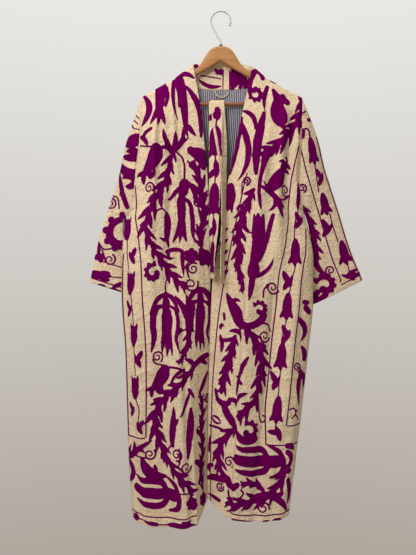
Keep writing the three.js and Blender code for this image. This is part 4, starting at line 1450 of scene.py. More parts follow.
def embroider(rows, grids, flats):
    """Work the rows of motifs over panels that share one flat drawing. One result for each panel."""
    seen = np.concatenate([grid.reshape(-1, 3) for grid in grids])
    flat = np.concatenate([flat.reshape(-1, 2) for flat in flats])
    stitching = Stitching(flat)

    # Cloth nearer to the eye looks larger, so places are compared as they are seen.
    nearer = CAMERA["away"] / (CAMERA["away"] + seen[:, 1] - CAMERA["plane_y"])
    seen_x = CAMERA["x"] + (seen[:, 0] - CAMERA["x"]) * nearer
    seen_z = CAMERA["z"] + (seen[:, 2] - CAMERA["z"]) * nearer
    out_of_sight = np.where(flat[:, 0] >= AWAY, AWAY, 0)

    def spot(x, z):
        gap = (seen_x - x) ** 2 + (seen_z - z) ** 2 + FRONT_FIRST * seen[:, 1] + out_of_sight
        return flat[int(np.argmin(gap))]

    def strokes_of(kind, numbers, points):
        if kind in LEAF_FORMS:
            return leaf(kind, *(spot(x, z) for x, z in points), *numbers)
        if kind in ("vine", "stem"):
            return WORKED_OUT[kind]([spot(x, z) for x, z in points], *numbers)
        x, z, *rest = numbers
        if kind in WORKED_OUT:
            return WORKED_OUT[kind](*spot(x, z), *rest)
        return place(MOTIFS[kind], *spot(x, z), *rest)

    for kind, numbers, points in rows:
        for path in strokes_of(kind, numbers, points):
            stitching.stroke(fill_out(path, SPREAD.get(kind, SPREAD_PLACED)))
    print("strokes:", stitching.strokes)
    return stitching.split([grid.shape[0] * grid.shape[1] for grid in grids])


# %% [markdown]
# ## Turning a grid into cloth
# The grid is the face that shows. A copy of it, moved inwards by the cloth's thickness, is the lining
# side, and a rounded strip closes every free edge, so the panel is one solid sheet.


# %% Directions and stored values
def grid_normals(grid, around):
    """The direction that each point of the cloth faces."""
    if around:
        along = np.roll(grid, -1, axis=1) - np.roll(grid, 1, axis=1)
    else:
        along = np.gradient(grid, axis=1)
    down = np.gradient(grid, axis=0)
    n = np.cross(down, along)
    return n / (np.linalg.norm(n, axis=2, keepdims=True) + 1e-12)


def store(mesh, name, values):
    """Keep one number, or one vector, for each point, where a material can read it."""
    kind, field = ("FLOAT_VECTOR", "vector") if values.ndim == 2 else ("FLOAT", "value")
    attribute = mesh.attributes.new(name, kind, "POINT")
    attribute.data.foreach_set(field, values.astype(np.float32).ravel())


# %% Close the edges of the cloth
EDGE_BULGE = 0.55


def edge_strips(grid, outer, inner, facing, wall, around, free):
    """Two strips of faces along each open edge, with a middle row that stands out where it is free."""
    m, n = grid.shape[:2]
    index = np.arange(m * n).reshape(m, n)
    edges = {
        "top": (index[0], grid[0] - grid[1]),
        "foot": (index[-1], grid[-1] - grid[-2]),
        "start": (index[:, 0], grid[:, 0] - grid[:, 1]),
        "end": (index[:, -1], grid[:, -1] - grid[:, -2]),
    }
    count = 2 * m * n
    middles, owners, faces = [], [], []
    for edge, (row, beyond) in edges.items():
        if around and edge in ("start", "end"):
            continue
        out = beyond / (np.linalg.norm(beyond, axis=1, keepdims=True) + 1e-9)
        bulge = EDGE_BULGE * wall if edge in free else 0.0
        middles.append((outer.reshape(-1, 3)[row] + inner.reshape(-1, 3)[row]) / 2 + out * bulge)
        owners.append(row)
        mid = count + np.arange(len(row))
        count += len(row)
        i = np.arange(len(row) if around else len(row) - 1)
        j = (i + 1) % len(row)
        first = np.stack([row[i], row[j], mid[j], mid[i]], axis=-1)
        second = np.stack([mid[i], mid[j], row[j] + m * n, row[i] + m * n], axis=-1)
        strips = np.concatenate([first, second])
        flip = edge in ("foot", "start")
        faces.append(strips[:, ::-1] if flip != (facing < 0) else strips)
    return middles, owners, faces


# %% Fill a mesh
UV_SCALE = 0.01


def fill_mesh(name, points, faces, slots, uv_points):
    """A mesh of four-sided faces. Its UV map is the flat cut cloth, in units of 100 mm."""
    mesh = bpy.data.meshes.new(name)
    mesh.vertices.add(len(points))
    mesh.vertices.foreach_set("co", points.ravel())
    mesh.loops.add(faces.size)
    mesh.loops.foreach_set("vertex_index", faces.ravel())
    mesh.polygons.add(len(faces))
    mesh.polygons.foreach_set("loop_start", np.arange(0, faces.size, 4, dtype=np.int32))
    mesh.polygons.foreach_set("material_index", slots)
    mesh.update(calc_edges=True)
    mesh.polygons.foreach_set("use_smooth", np.ones(len(faces), bool))
    uv = mesh.uv_layers.new(name="cloth")
    uv.data.foreach_set("uv", uv_points[faces.ravel()].astype(np.float32).ravel())
    return mesh


# %% Build a piece of cloth
# How high the thread lifts the cloth, and from how far outside a stroke the lift begins.
THREAD_RISE = 0.9
RISE_FROM = 0.6
RISE_OVER = 2.2


def cloth_piece(
    name, grid, facing, wall, materials, flat, around=False, stitching=None, lines=None, free=(), both=False
):
    m, n = grid.shape[:2]
    normals = grid_normals(grid, around) * facing
    depth = np.full(m * n, Stitching.FAR) if stitching is None else stitching.depth
    along = np.zeros(m * n) if stitching is None else stitching.along
    lift = THREAD_RISE * smooth((depth.reshape(m, n) + RISE_FROM) / RISE_OVER)
    outer = grid + normals * lift[..., None]
    inner = grid - normals * (wall + (lift[..., None] if both else 0))
    columns = n if around else n - 1
    index = np.arange(m * n).reshape(m, n)
    nxt = np.roll(index, -1, axis=1)
    corners = [index[:-1, :columns], index[1:, :columns], nxt[1:, :columns], nxt[:-1, :columns]]
    faces_out = np.stack(corners, axis=-1).reshape(-1, 4)
    faces_in = faces_out[:, ::-1] + m * n
    if facing < 0:
        faces_out, faces_in = faces_out[:, ::-1], faces_in[:, ::-1]
    middles, owners, strips = edge_strips(grid, outer, inner, facing, wall, around, free)
    points = np.concatenate([outer.reshape(-1, 3), inner.reshape(-1, 3), *middles]) * MM
    faces = np.concatenate([faces_out, faces_in, *strips]).astype(np.int32)
    slots = np.zeros(len(faces), np.int32)
    slots[len(faces_out) : len(faces_out) + len(faces_in)] = 1
    owner = np.concatenate([np.arange(m * n), np.arange(m * n), *owners])
    mesh = fill_mesh(name, points, faces, slots, flat.reshape(-1, 2)[owner] * UV_SCALE)

    order = np.arange(len(points))
    worked = (order < m * n) | (order >= 2 * m * n) | both
    store(mesh, "stitch_depth", np.where(worked, depth[owner], Stitching.FAR))
    store(mesh, "stitch_along", along[owner])
    far = np.full((len(points), 3), FAR_LINE)
    if lines is not None:
        far[: m * n] = lines.reshape(-1, 3)
    store(mesh, "line_gap", far)
    mesh.validate()
    piece = bpy.data.objects.new(name, mesh)
    bpy.context.scene.collection.objects.link(piece)
    for material in materials:
        mesh.materials.append(material)
    print(name, "faces:", len(faces))
    return piece


# %% [markdown]
# ## Materials
# Small helpers first. Each finish is a tree of nodes: a coordinate along the cloth, some noise, and
# a shader. They are named after what they are on the garment.


# %% Node helpers
class Finish:
    def __init__(self, name, roughness, metallic=0.0, coat=0.0):
        self.material = bpy.data.materials.new(name)
        self.material.use_nodes = True
        self.nodes = self.material.node_tree.nodes
        self.links = self.material.node_tree.links
        self.shader = self.nodes["Principled BSDF"]
        self.shader.inputs["Roughness"].default_value = roughness
        self.shader.inputs["Metallic"].default_value = metallic
        self.shader.inputs["Coat Weight"].default_value = coat

    def add(self, kind, inputs=None, **settings):
        node = self.nodes.new(kind)
        for key, value in settings.items():
            setattr(node, key, value)
        for key, value in (inputs or {}).items():
            self.feed(node.inputs[key], value)
        return node

    def feed(self, socket, value):
        if isinstance(value, bpy.types.NodeSocket):
            self.links.new(value, socket)
        else:
            socket.default_value = value

    def math(self, operation, a, b=0.0, c=0.0, clamp=False):
        node = self.add("ShaderNodeMath", {0: a, 1: b, 2: c}, operation=operation, use_clamp=clamp)
        return node.outputs[0]

    def times(self, a, b):
        return self.math("MULTIPLY", a, b)

    def times_plus(self, a, b, c):
        return self.math("MULTIPLY_ADD", a, b, c)

    def plus(self, a, b):
        return self.math("ADD", a, b)

    def less(self, a, b, clamp=False):
        return self.math("SUBTRACT", a, b, clamp=clamp)

    def absolute(self, a):
        return self.math("ABSOLUTE", a)

    def noise(self, vector, scale, detail=2.0, rough=0.5):
        inputs = {"Vector": vector, "Scale": scale, "Detail": detail, "Roughness": rough}
        return self.add("ShaderNodeTexNoise", inputs).outputs["Fac"]

    def stretch(self, vector, x, y, z=1.0):
        return self.add("ShaderNodeVectorMath", {0: vector, 1: (x, y, z)}, operation="MULTIPLY").outputs[0]

    def ramp(self, value, low, high, low_to=0.0, high_to=1.0):
        inputs = {"Value": value, "From Min": low, "From Max": high, "To Min": low_to, "To Max": high_to}
        return self.add("ShaderNodeMapRange", inputs, interpolation_type="SMOOTHSTEP").outputs[0]

    def blend(self, factor, a, b, blend_type="MIX"):
        node = self.add("ShaderNodeMix", data_type="RGBA", blend_type=blend_type)
        self.feed(node.inputs["Factor"], factor)
        self.feed(node.inputs[6], a)
        self.feed(node.inputs[7], b)
        return node.outputs[2]

    def tint(self, colour, other, value, low, high, share):
        """Lay a share of another colour over this one, where a value rises from low to high."""
        return self.blend(self.times(self.ramp(value, low, high), share), colour, other)

    def bump(self, height, distance, strength=1.0, normal=None):
        inputs = {"Height": height, "Distance": distance, "Strength": strength}
        if normal is not None:
            inputs["Normal"] = normal
        return self.add("ShaderNodeBump", inputs).outputs["Normal"]

    def cloth_uv(self):
        return self.add("ShaderNodeUVMap", uv_map="cloth").outputs["UV"]

    def attribute(self, name, output="Fac"):
        return self.add("ShaderNodeAttribute", attribute_name=name).outputs[output]


# %% [markdown]
# ### Slubby cotton with chain stitch
# The cloth is a plain cream cotton woven from uneven yarn, so it has short thick places, called
# slubs, along both directions. The purple thread is drawn by the stored depth: it starts at the
# outline, rounds up over the first stitch and then runs in rows of about two and a half millimetres.

# %% The colour of the cotton
CREAM = (0.60, 0.455, 0.30, 1)
CREAM_PALE = (0.69, 0.555, 0.39, 1)
CREAM_DEEP = (0.47, 0.335, 0.205, 1)


def cream_colour(f, uv, slubs, mottle):
    """Pale slubs both ways, deeper patches, and a light and a dark mottle."""
    patch = f.noise(uv, 0.9, 3.0)
    fleck = f.noise(uv, 42.0, 1.0)
    colour = f.blend(f.ramp(slubs[0], 0.42, 0.7), CREAM, CREAM_PALE)
    for other, value, low, high, share in (
        (CREAM_PALE, slubs[1], 0.52, 0.74, 0.55),
        (CREAM_DEEP, patch, 0.5, 0.72, 0.4),
        (CREAM_DEEP, mottle, 0.5, 0.7, 0.5),
        (CREAM_PALE, mottle, 0.46, 0.3, 0.5),
        (CREAM_DEEP, fleck, 0.62, 0.72, 0.3),
    ):
        colour = f.tint(colour, other, value, low, high, share)
    return colour


# %% Where the thread covers the cloth
LINE_HALF = 1.9


def thread_cover(f, uv):
    """How deep a spot lies in the thread, with a slightly ragged outline, and whether it is covered."""
    ragged = f.times_plus(f.noise(uv, 26.0, 2.0), 1.0, -0.5)
    depth = f.plus(f.attribute("stitch_depth"), ragged)
    line = f.add("ShaderNodeSeparateXYZ", {0: f.attribute("line_gap", "Vector")})
    gap = f.math("MINIMUM", f.absolute(line.outputs[0]), f.absolute(line.outputs[1]))
    gap = f.math("MINIMUM", gap, f.absolute(line.outputs[2]))
    line_depth = f.less(LINE_HALF, f.plus(gap, f.times(ragged, 0.5)))
    covered = f.math("MAXIMUM", depth, line_depth)
    return covered, f.ramp(covered, -0.25, 0.25)


# %% The rows of stitches
STITCH_ROW = 2.5
STITCH_LINK = 3.6


def chain_stitch(f, covered):
    """The height of a stitch: round across its row, and round again along each link of the chain."""
    row = f.math("DIVIDE", covered, STITCH_ROW)
    across_row = f.absolute(f.less(f.math("FRACT", row), 0.5))
    link = f.math("DIVIDE", f.attribute("stitch_along"), STITCH_LINK)
    link = f.plus(link, f.times(across_row, 1.1))
    link = f.plus(link, f.times(f.math("FLOOR", row), 0.37))
    link_round = f.absolute(f.math("SINE", f.times(link, math.pi)))
    row_round = f.math("SQRT", f.less(1.0, f.times(across_row, 1.9), clamp=True))
    return f.times(row_round, f.times_plus(link_round, 0.45, 0.55))


# %% The colour of the thread
PURPLE = (0.068, 0.0002, 0.036, 1)
# The lighter purple is a painted highlight on the tops of the stitches, and also the thread's own paler
# patches.
PURPLE_HIGHLIGHT_AND_PALE = (0.165, 0.0005, 0.096, 1)
PURPLE_WORN = (0.06, 0.0003, 0.03, 1)


def thread_colour(f, uv, stitch, mottle):
    fibre = f.noise(f.stretch(uv, 6, 6), 30.0, 2.0)
    # Painted highlight and shade: the rounded tops of the stitches are coloured lighter, the grooves between
    # rows and the first stitch at each outline darker. The mottle and the worn patches are the thread's own
    # tone.
    shade = f.times_plus(stitch, 0.75, f.times(fibre, 0.3))
    thread_shaded = f.blend(f.ramp(shade, 0.2, 0.95), PURPLE, PURPLE_HIGHLIGHT_AND_PALE)
    thread_shaded = f.tint(thread_shaded, PURPLE_HIGHLIGHT_AND_PALE, mottle, 0.48, 0.68, 0.45)
    return f.tint(thread_shaded, PURPLE_WORN, f.noise(uv, 1.7, 2.0), 0.5, 0.75, 0.3)


# %% The relief of cloth and thread
WEAVE = {"Scale": 4.6, "Distortion": 0.8}
PUCKER = 0.0035
RELIEF = 0.0006


def relief(f, uv, slubs, mottle, stitch, thread):
    """Weave and slubs where the cloth shows, stitches where it is covered, and puckers under both."""
    waves = [f.add("ShaderNodeTexWave", {"Vector": uv, **WEAVE}, bands_direction=way) for way in "XY"]
    weave = f.times(f.math("MAXIMUM", *(wave.outputs["Fac"] for wave in waves)), 0.5)
    cloth = f.plus(weave, f.times(f.plus(*slubs), 1.1))
    bare = f.times(cloth, f.less(1.0, thread))
    worked = f.times(f.times_plus(stitch, 1.3, 1.2), thread)
    pucker = f.bump(f.plus(mottle, f.noise(uv, 5.0, 2.0)), PUCKER, 1.0)
    return f.bump(f.plus(bare, worked), RELIEF, 0.9, pucker)


# %% Cotton and thread
COTTON_ROUGHNESS = 0.86
THREAD_SMOOTHER = -0.22


def cotton_and_thread(name):
    f = Finish(name, COTTON_ROUGHNESS)
    f.shader.inputs["Specular IOR Level"].default_value = 0.0
    uv = f.cloth_uv()
    slubs = f.noise(f.stretch(uv, 9, 1.1), 4.0, 3.0), f.noise(f.stretch(uv, 0.9, 10), 4.0, 3.0)
    mottle = f.noise(uv, 14.0, 2.0)
    covered, thread = thread_cover(f, uv)
    stitch = chain_stitch(f, covered)
    colour, thread_shaded = cream_colour(f, uv, slubs, mottle), thread_colour(f, uv, stitch, mottle)
    f.feed(f.shader.inputs["Base Color"], f.blend(thread, colour, thread_shaded))
    f.feed(f.shader.inputs["Roughness"], f.times_plus(thread, THREAD_SMOOTHER, COTTON_ROUGHNESS))
    f.feed(f.shader.inputs["Normal"], relief(f, uv, slubs, mottle, stitch, thread))
    return f.material


COTTON = cotton_and_thread("slubby_cotton_with_chain_stitch")
print("cotton nodes:", len(COTTON.node_tree.nodes))

# %% [markdown]
# ### Striped lining
# The inside is a thin cotton with narrow white and navy stripes that run down the garment. A wave
# texture could draw them. A fraction of the distance across the cloth keeps their pitch exact, and
# a slow ramp darkens the lining down the inside, where little light reaches.

# %% Lining
STRIPE_PITCH = 4.9
# Heights in the units of the UV map, and the share of the light that is left at the lower one.
LINING_SHADE = {"from_z": -2.3, "to_z": -4.2, "to": 0.5}
# The white stripe's tones are dimmed well below white: painted shade for the inside of the garment, over the
# stripe's own colour.
WHITE_STRIPE_SHADED = (0.34, 0.31, 0.35, 1), (0.44, 0.41, 0.43, 1)
NAVY_STRIPE = (0.013, 0.011, 0.035, 1), (0.03, 0.026, 0.065, 1)


def striped_cotton(name):
    f = Finish(name, 0.9)
    uv = f.cloth_uv()
    split = f.add("ShaderNodeSeparateXYZ", {0: uv})
    across = f.times(split.outputs[0], 1 / UV_SCALE / STRIPE_PITCH)
    wave = f.absolute(f.less(f.math("FRACT", across), 0.5))
    stripe = f.ramp(wave, 0.19, 0.27)
    haze = f.noise(f.stretch(uv, 20, 3), 6.0, 2.0)
    striped = f.blend(stripe, f.blend(haze, *WHITE_STRIPE_SHADED), f.blend(haze, *NAVY_STRIPE))
    deep = f.ramp(split.outputs[1], LINING_SHADE["to_z"], LINING_SHADE["from_z"], LINING_SHADE["to"], 1.0)
    f.feed(f.shader.inputs["Base Color"], f.blend(1.0, striped, deep, "MULTIPLY"))
    grain = f.noise(f.stretch(uv, 60, 60), 3.0, 2.0)
    f.feed(f.shader.inputs["Normal"], f.bump(grain, 0.0003, 0.4))
    return f.material


LINING = striped_cotton("striped_lining_cotton")
print("stripe pitch", STRIPE_PITCH, "mm")

# %% [markdown]
# ### Varnished wood and plated steel
# The wood could be a flat brown, but its grain shows. Noise stretched along the plank gives a grain
# that turns from honey to a deeper brown, under a thin satin varnish. The bar is a darker copy of the
# same wood. The hook is plated wire: a smooth metal with faint drawing marks.

# %% Wood
# Each tone of the wood, and how much of its red, green and blue the darker bar takes away.
TONES = {
    "honey": ((0.38, 0.168, 0.05), (1, 0.6, 0.2)),
    "brown": ((0.29, 0.118, 0.033), (1, 0.5, 0.1)),
    "amber": ((0.42, 0.2, 0.065), (1, 0.7, 0.25)),
    "pores": ((0.2, 0.08, 0.03), (0, 0, 0)),
}
# The bar takes a darker copy of the wood's tones.
BAR_DARKER = 0.16


def varnished_wood(name, dark=0.0):
    f = Finish(name, 0.5, coat=0.08)
    f.shader.inputs["Specular IOR Level"].default_value = 0.3
    place_at = f.add("ShaderNodeTexCoord").outputs["Object"]
    grain = f.noise(f.stretch(place_at, 14, 120, 190), 1.0, 6.0, 0.6)
    ring = f.noise(f.stretch(place_at, 5, 30, 46), 1.0, 3.0)
    pore = f.noise(f.stretch(place_at, 60, 900, 900), 1.0, 2.0)
    tones = {tone: (*(a - b * dark for a, b in zip(*parts)), 1) for tone, parts in TONES.items()}
    colour = f.blend(f.ramp(grain, 0.35, 0.7), tones["honey"], tones["brown"])
    colour = f.tint(colour, tones["amber"], ring, 0.4, 0.65, 0.6)
    colour = f.tint(colour, tones["pores"], pore, 0.58, 0.7, 0.5)
    f.feed(f.shader.inputs["Base Color"], colour)
    f.feed(f.shader.inputs["Roughness"], f.ramp(grain, 0.3, 0.7, 0.3, 0.46))
    f.feed(f.shader.inputs["Normal"], f.bump(f.plus(grain, pore), 0.0002, 0.35))
    return f.material


WOOD_FINISH = varnished_wood("varnished_hanger_wood")
BAR_FINISH = varnished_wood("varnished_bar_wood", BAR_DARKER)
print("wood:", WOOD_FINISH.name, BAR_FINISH.name)

# %% Steel
STEEL = (0.34, 0.34, 0.35, 1), (0.42, 0.42, 0.43, 1)


def plated_steel(name):
    f = Finish(name, 0.2, metallic=1.0)
    place_at = f.add("ShaderNodeTexCoord").outputs["Object"]
    marks = f.noise(f.stretch(place_at, 900, 900, 120), 1.0, 2.0)
    f.feed(f.shader.inputs["Base Color"], f.blend(marks, *STEEL))
    f.feed(f.shader.inputs["Roughness"], f.ramp(marks, 0.3, 0.7, 0.42, 0.5))
    return f.material


STEEL_FINISH = plated_steel("plated_hook_steel")
print("steel:", STEEL_FINISH.name)

# %% [markdown]
# ## The fronts and the shawl band
# Each front is one piece from the side seam to the band. The band is cut on its own and folded double,
# so both its faces show cotton. It runs up one front, over the shoulder and round the neck to the
# centre back, where the two halves meet. Two drawings would break at the seam, so a front and its
# band share one flat drawing, and the embroidery runs on across it.

# %% Border lines
# How far in from the side seam the border's two upright lines are seen, and where they turn.
BORDER = {
    "right": curve_table(
        "z inner outer",
        [
            [-464, 3.5, 60], [-530, 20, 30], [-602, 45, 10], [-684, 55, 4],
            [-815, 59, 4], [-1015, 56, 4], [-1117, 52, 4],
        ],
    ),
    "left": curve_table(
        "z inner outer",
        [
            [-361, 8, 60], [-444, 23, 40], [-554, 54, 8], [-629, 79, 22], [-710, 95, 36],
            [-834, 100, 42], [-1024, 100, 42], [-1136, 87, 42],
        ],
    ),
}
INNER_SPAN = {"right": (-1117, -462), "left": (-1136, -359)}
OUTER_SPAN = {"right": (-1117, -640), "left": (-1086, -575)}
HEM_LINE_UP = {"right": 24, "left": 15}
BAND_LINE_TOP = -430
BAND_LINE = curve_table(
    "z gap", [[BAND_LINE_TOP, 28], [-450, 31], [-718, 42], [-843, 52], [-1028, 60], [-1288, 60]]
)


def frame_lines(from_side, z, inner, outer, inner_span, outer_span):
    """Signed gaps to the border's two upright lines, and to the level lines that turn their corners."""

    def one_line(gap, span):
        upright = np.where((z > span[0]) & (z < span[1]), from_side - gap, FAR_LINE)
        level = np.where(from_side < gap, z - span[0], FAR_LINE)
        return upright, level

    (a, c), (b, d) = one_line(inner, inner_span), one_line(outer, outer_span)
    return np.where(np.abs(a) < np.abs(b), a, b), np.where(np.abs(c) < np.abs(d), c, d)


print("border lines end at z", INNER_SPAN["right"][0], "and", INNER_SPAN["left"][0])


# %% Hand a piece over


def finish_piece(piece, node):
    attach(piece, "root")
    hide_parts(node)


# %% Make the fronts and the band
def make_side(side):
    sign = 1 if side == "right" else -1
    front = front_grid(side, steps_over("front"))
    band = band_grid(side, steps_over("band"), steps_over("band_neck"))
    level = sign * row_lengths(front, level=True)
    front_flat = np.stack([front[:, :1, 0] + level, front[..., 2]], axis=-1)
    at_seam = front_flat[::-1, -1, 0]
    behind = len(band) - len(front)
    at_seam = np.concatenate([at_seam, np.full(behind, at_seam[-1])])[:, None]
    band_x = at_seam + sign * row_lengths(band, level=True)
    band_x[-behind:] = band[-behind:, :, 0] + at_seam[-1] - band[len(front) - 1, 0, 0]
    band_flat = np.stack([band_x, band[..., 2]], axis=-1)
    rows = PATTERN["front_" + side] + PATTERN["collar_" + side]
    front_work, band_work = embroider(rows, [front, band], [front_flat, band_flat])

    length, z = row_lengths(front), front[..., 2]
    from_side = sign * (front[..., 0] - front[:, :1, 0])
    gaps = BORDER[side](z)
    first, level = frame_lines(from_side, z, gaps["inner"], gaps["outer"], INNER_SPAN[side], OUTER_SPAN[side])
    hem = z - front[-1:, :, 2] - HEM_LINE_UP[side]
    piece = cloth_piece(
        "front_" + side, front, sign, CLOTH, [COTTON, LINING], front_flat,
        stitching=front_work, lines=np.stack([first, level, hem], axis=-1), free=("foot",),
    )
    cut = (float(length[:, -1].max()), float(row_lengths(front.transpose(1, 0, 2)).max()))
    finish_piece(piece, "front_" + side)
    print(piece.name, "cut", [round(v) for v in cut], "mm")

    length, z = row_lengths(band), band[..., 2]
    far = np.full_like(z, FAR_LINE)
    seam_line = far
    if side == "left":
        seam_line = np.where(z < BAND_LINE_TOP, length - BAND_LINE(z)["gap"], FAR_LINE)
    piece = cloth_piece(
        "collar_" + side, band, -sign, BAND_CLOTH, [COTTON, COTTON], band_flat, both=True,
        stitching=band_work, lines=np.stack([seam_line, far, far], axis=-1), free=("top", "end"),
    )
    cut = (float(np.median(length[:, -1])), float(row_lengths(band.transpose(1, 0, 2)).max()))
    finish_piece(piece, "collar_" + side)
    print(piece.name, "cut", [round(v) for v in cut], "mm")


for side in ("right", "left"):
    make_side(side)


# %% [markdown]
# ## The back
# The back is one wide piece without a seam down its middle, so it could be a front mirrored twice.
# A grid of its own hangs more like cloth, because its folds don't repeat. It takes the same border
# and hem lines. Its vines and tulips are worked in mirrored halves, as a pricked pattern gives them.

# %% Make the back
BACK_LINES = {"inner": 56, "outer": 5, "inner_span": (-1120, -460), "outer_span": (-1120, -500), "hem": 14}


def make_back():
    grid = back_grid(steps_over("shoulder"), steps_over("half_neck"))
    length = row_lengths(grid)
    width = length[:, -1:]
    z = grid[..., 2]
    flat = np.stack([length - width / 2, z], axis=-1)
    from_side = np.minimum(length, width - length)
    frame_sizes = [BACK_LINES[key] for key in ("inner", "outer", "inner_span", "outer_span")]
    first, level = frame_lines(from_side, z, *frame_sizes)
    hem = z - (grid[-1, :, 2][None, :] + BACK_LINES["hem"])
    seen = grid * [1, -1, 1]
    (work,) = embroider(PATTERN["back"], [seen], [flat])
    piece = cloth_piece(
        "back", grid, -1, CLOTH, [COTTON, LINING], flat,
        stitching=work, lines=np.stack([first, level, hem], axis=-1), free=("foot",),
    )
    finish_piece(piece, "back")
    return grid, flat


BACK_GRID, BACK_FLAT = make_back()

# %% [markdown]
# ## The sleeves
# A sleeve is a flat tube set into the armhole. Its outer edge is a fold, its lower edge a seam, and
# its cuff stays open. Two flat halves would leave a crack along both edges, so the grid goes once
# round the tube, and it shares its first ring with the body.

# %% Make the sleeves
LEFT_LINES = {"inner": 56, "ends_above": 20, "rim": 4, "rim_below": -330, "cuff": 16}
RIGHT_LINES = {"upper": 66, "cuff": 12}


def make_sleeve(side):
    name = "sleeve_" + side
    grid, face = sleeve_grid(side, steps_over("sleeve"))
    flat = np.stack([grid[..., 0], grid[..., 2]], axis=-1)
    table = SLEEVE[side](np.linspace(0, 1, len(grid))[:, None])
    outer_x, outer_z = table["top_x"][:, 0], table["top_z"][:, 0]
    x, z = grid[..., 0], grid[..., 2]
    edge_x = np.interp(-z, -outer_z, outer_x)
    slope = np.gradient(outer_x, -outer_z)
    lean = np.interp(-z, -outer_z, np.sqrt(1 + slope**2))
    from_edge = np.abs(x - edge_x) / lean
    cuff = grid[-1]
    order = np.argsort(cuff[:, 0])
    cuff_z = np.interp(x, cuff[order, 0], cuff[order, 2])
    from_cuff = z - cuff_z
    frontal = np.broadcast_to(face < 0, x.shape)
    if side == "left":
        inner = np.where(from_cuff > LEFT_LINES["ends_above"], from_edge - LEFT_LINES["inner"], FAR_LINE)
        rim = np.where(z < LEFT_LINES["rim_below"], from_edge - LEFT_LINES["rim"], FAR_LINE)
        first = np.where(np.abs(inner) < np.abs(rim), inner, rim)
        second = np.where(from_edge < LEFT_LINES["inner"], from_cuff - LEFT_LINES["cuff"], FAR_LINE)
    else:
        first, second = from_cuff - RIGHT_LINES["upper"], from_cuff - RIGHT_LINES["cuff"]
    lines = np.stack([first, second, np.full_like(first, FAR_LINE)], axis=-1)
    in_front = frontal[..., None]
    (front,) = embroider(PATTERN[name], [grid], [np.where(in_front, flat, AWAY)])
    from_behind = grid * [1, -1, 1]
    (rear,) = embroider(PATTERN[name + "_rear"], [from_behind], [np.where(in_front, AWAY, flat)])
    front.depth = np.maximum(front.depth, rear.depth)
    front.along = np.where(frontal.reshape(-1), front.along, rear.along)
    piece = cloth_piece(
        name, grid, 1 if side == "right" else -1, CLOTH, [COTTON, LINING], flat,
        around=True, stitching=front, lines=lines, free=("foot",),
    )
    finish_piece(piece, name)


for side in ("right", "left"):
    make_sleeve(side)


# %% [markdown]
# ## The lining behind the opening
# Through the open neck the striped lining of the back shows. It could be a colour on the back's inner
# face. A sheet of its own, just inside the back panel, casts the small shadow that a lining does. It
# takes every second point of the back's grid, so the two follow the same folds.

# %% Make the lining
LINING_CLOTH = 0.7
LINING_GAP = 0.35
LINING_ACROSS = (0.16, 0.84)
LINING_FOOT = 0.985
ALL_EDGES = ("top", "foot", "start", "end")


def make_lining():
    normals = grid_normals(BACK_GRID, False) * -1
    first, last = (int(BACK_GRID.shape[1] * share) for share in LINING_ACROSS)
    rows = slice(2, int(len(SHARES) * LINING_FOOT))
    grid = (BACK_GRID - normals * (CLOTH + LINING_GAP))[rows, first:last][::2, ::2]
    flat = BACK_FLAT[rows, first:last][::2, ::2]
    piece = cloth_piece("lining_back", grid, -1, LINING_CLOTH, [LINING, LINING], flat, free=ALL_EDGES)
    finish_piece(piece, "lining_back")


make_lining()

# %% [markdown]
# ## The belt
# The loose belt is a long strip, folded in half and hung over the bar. A cloth simulation would let
# it slide off. So its path is a table of points down the middle of the strip: x, y, z, and how many
# degrees the strip is twisted there.

# %% The path of the belt
BELT_PATH = number_rows("""
-25.5 -35 -706 -76
-24 -35 -660 -76
-22.5 -34 -620 -66
-21 -32 -570 -48
-18.5 -29 -500 -38
-16 -25 -410 -26
-14.5 -20 -340 -14
-13.5 -14 -285 -4
-13.5 -10.4 -256 0
-13.5 -9.6 -245 0
-13.5 -7 -237 0
-13.5 0 -233.4 0
-13.5 7 -237 0
-13.5 9.6 -245 0
-13 9.8 -262 0
-12 9.8 -330 0
-11 10.3 -450 0
-10 11 -560 0
-10 11.5 -640 0
-10 10.4 -646 0
-10 7.5 -649 0
-10 4.6 -646 0
-10 3.5 -640 0
-9.5 4.5 -560 0
-9 6 -450 0
-9 6.8 -330 0
-9 6.8 -262 0
-9 6.5 -245 0
-9 4.6 -239.6 0
-9 0 -237.2 0
-9 -4.6 -239.6 0
-8.8 -6.5 -245 0
-8 -7 -262 2
-5 -9 -300 12
-0.5 -14 -350 32
3.5 -21 -410 54
5 -27 -480 68
4 -32 -560 72
1.5 -35 -640 73
1 -35 -719 73
""")


print("points on the belt's path:", len(BELT_PATH))

# %% Make the belt
BELT_WIDTH = 34
BELT_CLOTH = 2.2
BELT_STEP = 3.0
BELT_COLUMNS = 12
BELT_WOBBLE = {"out": 0.5, "length": 30, "seed": 31, "share": 0.6}


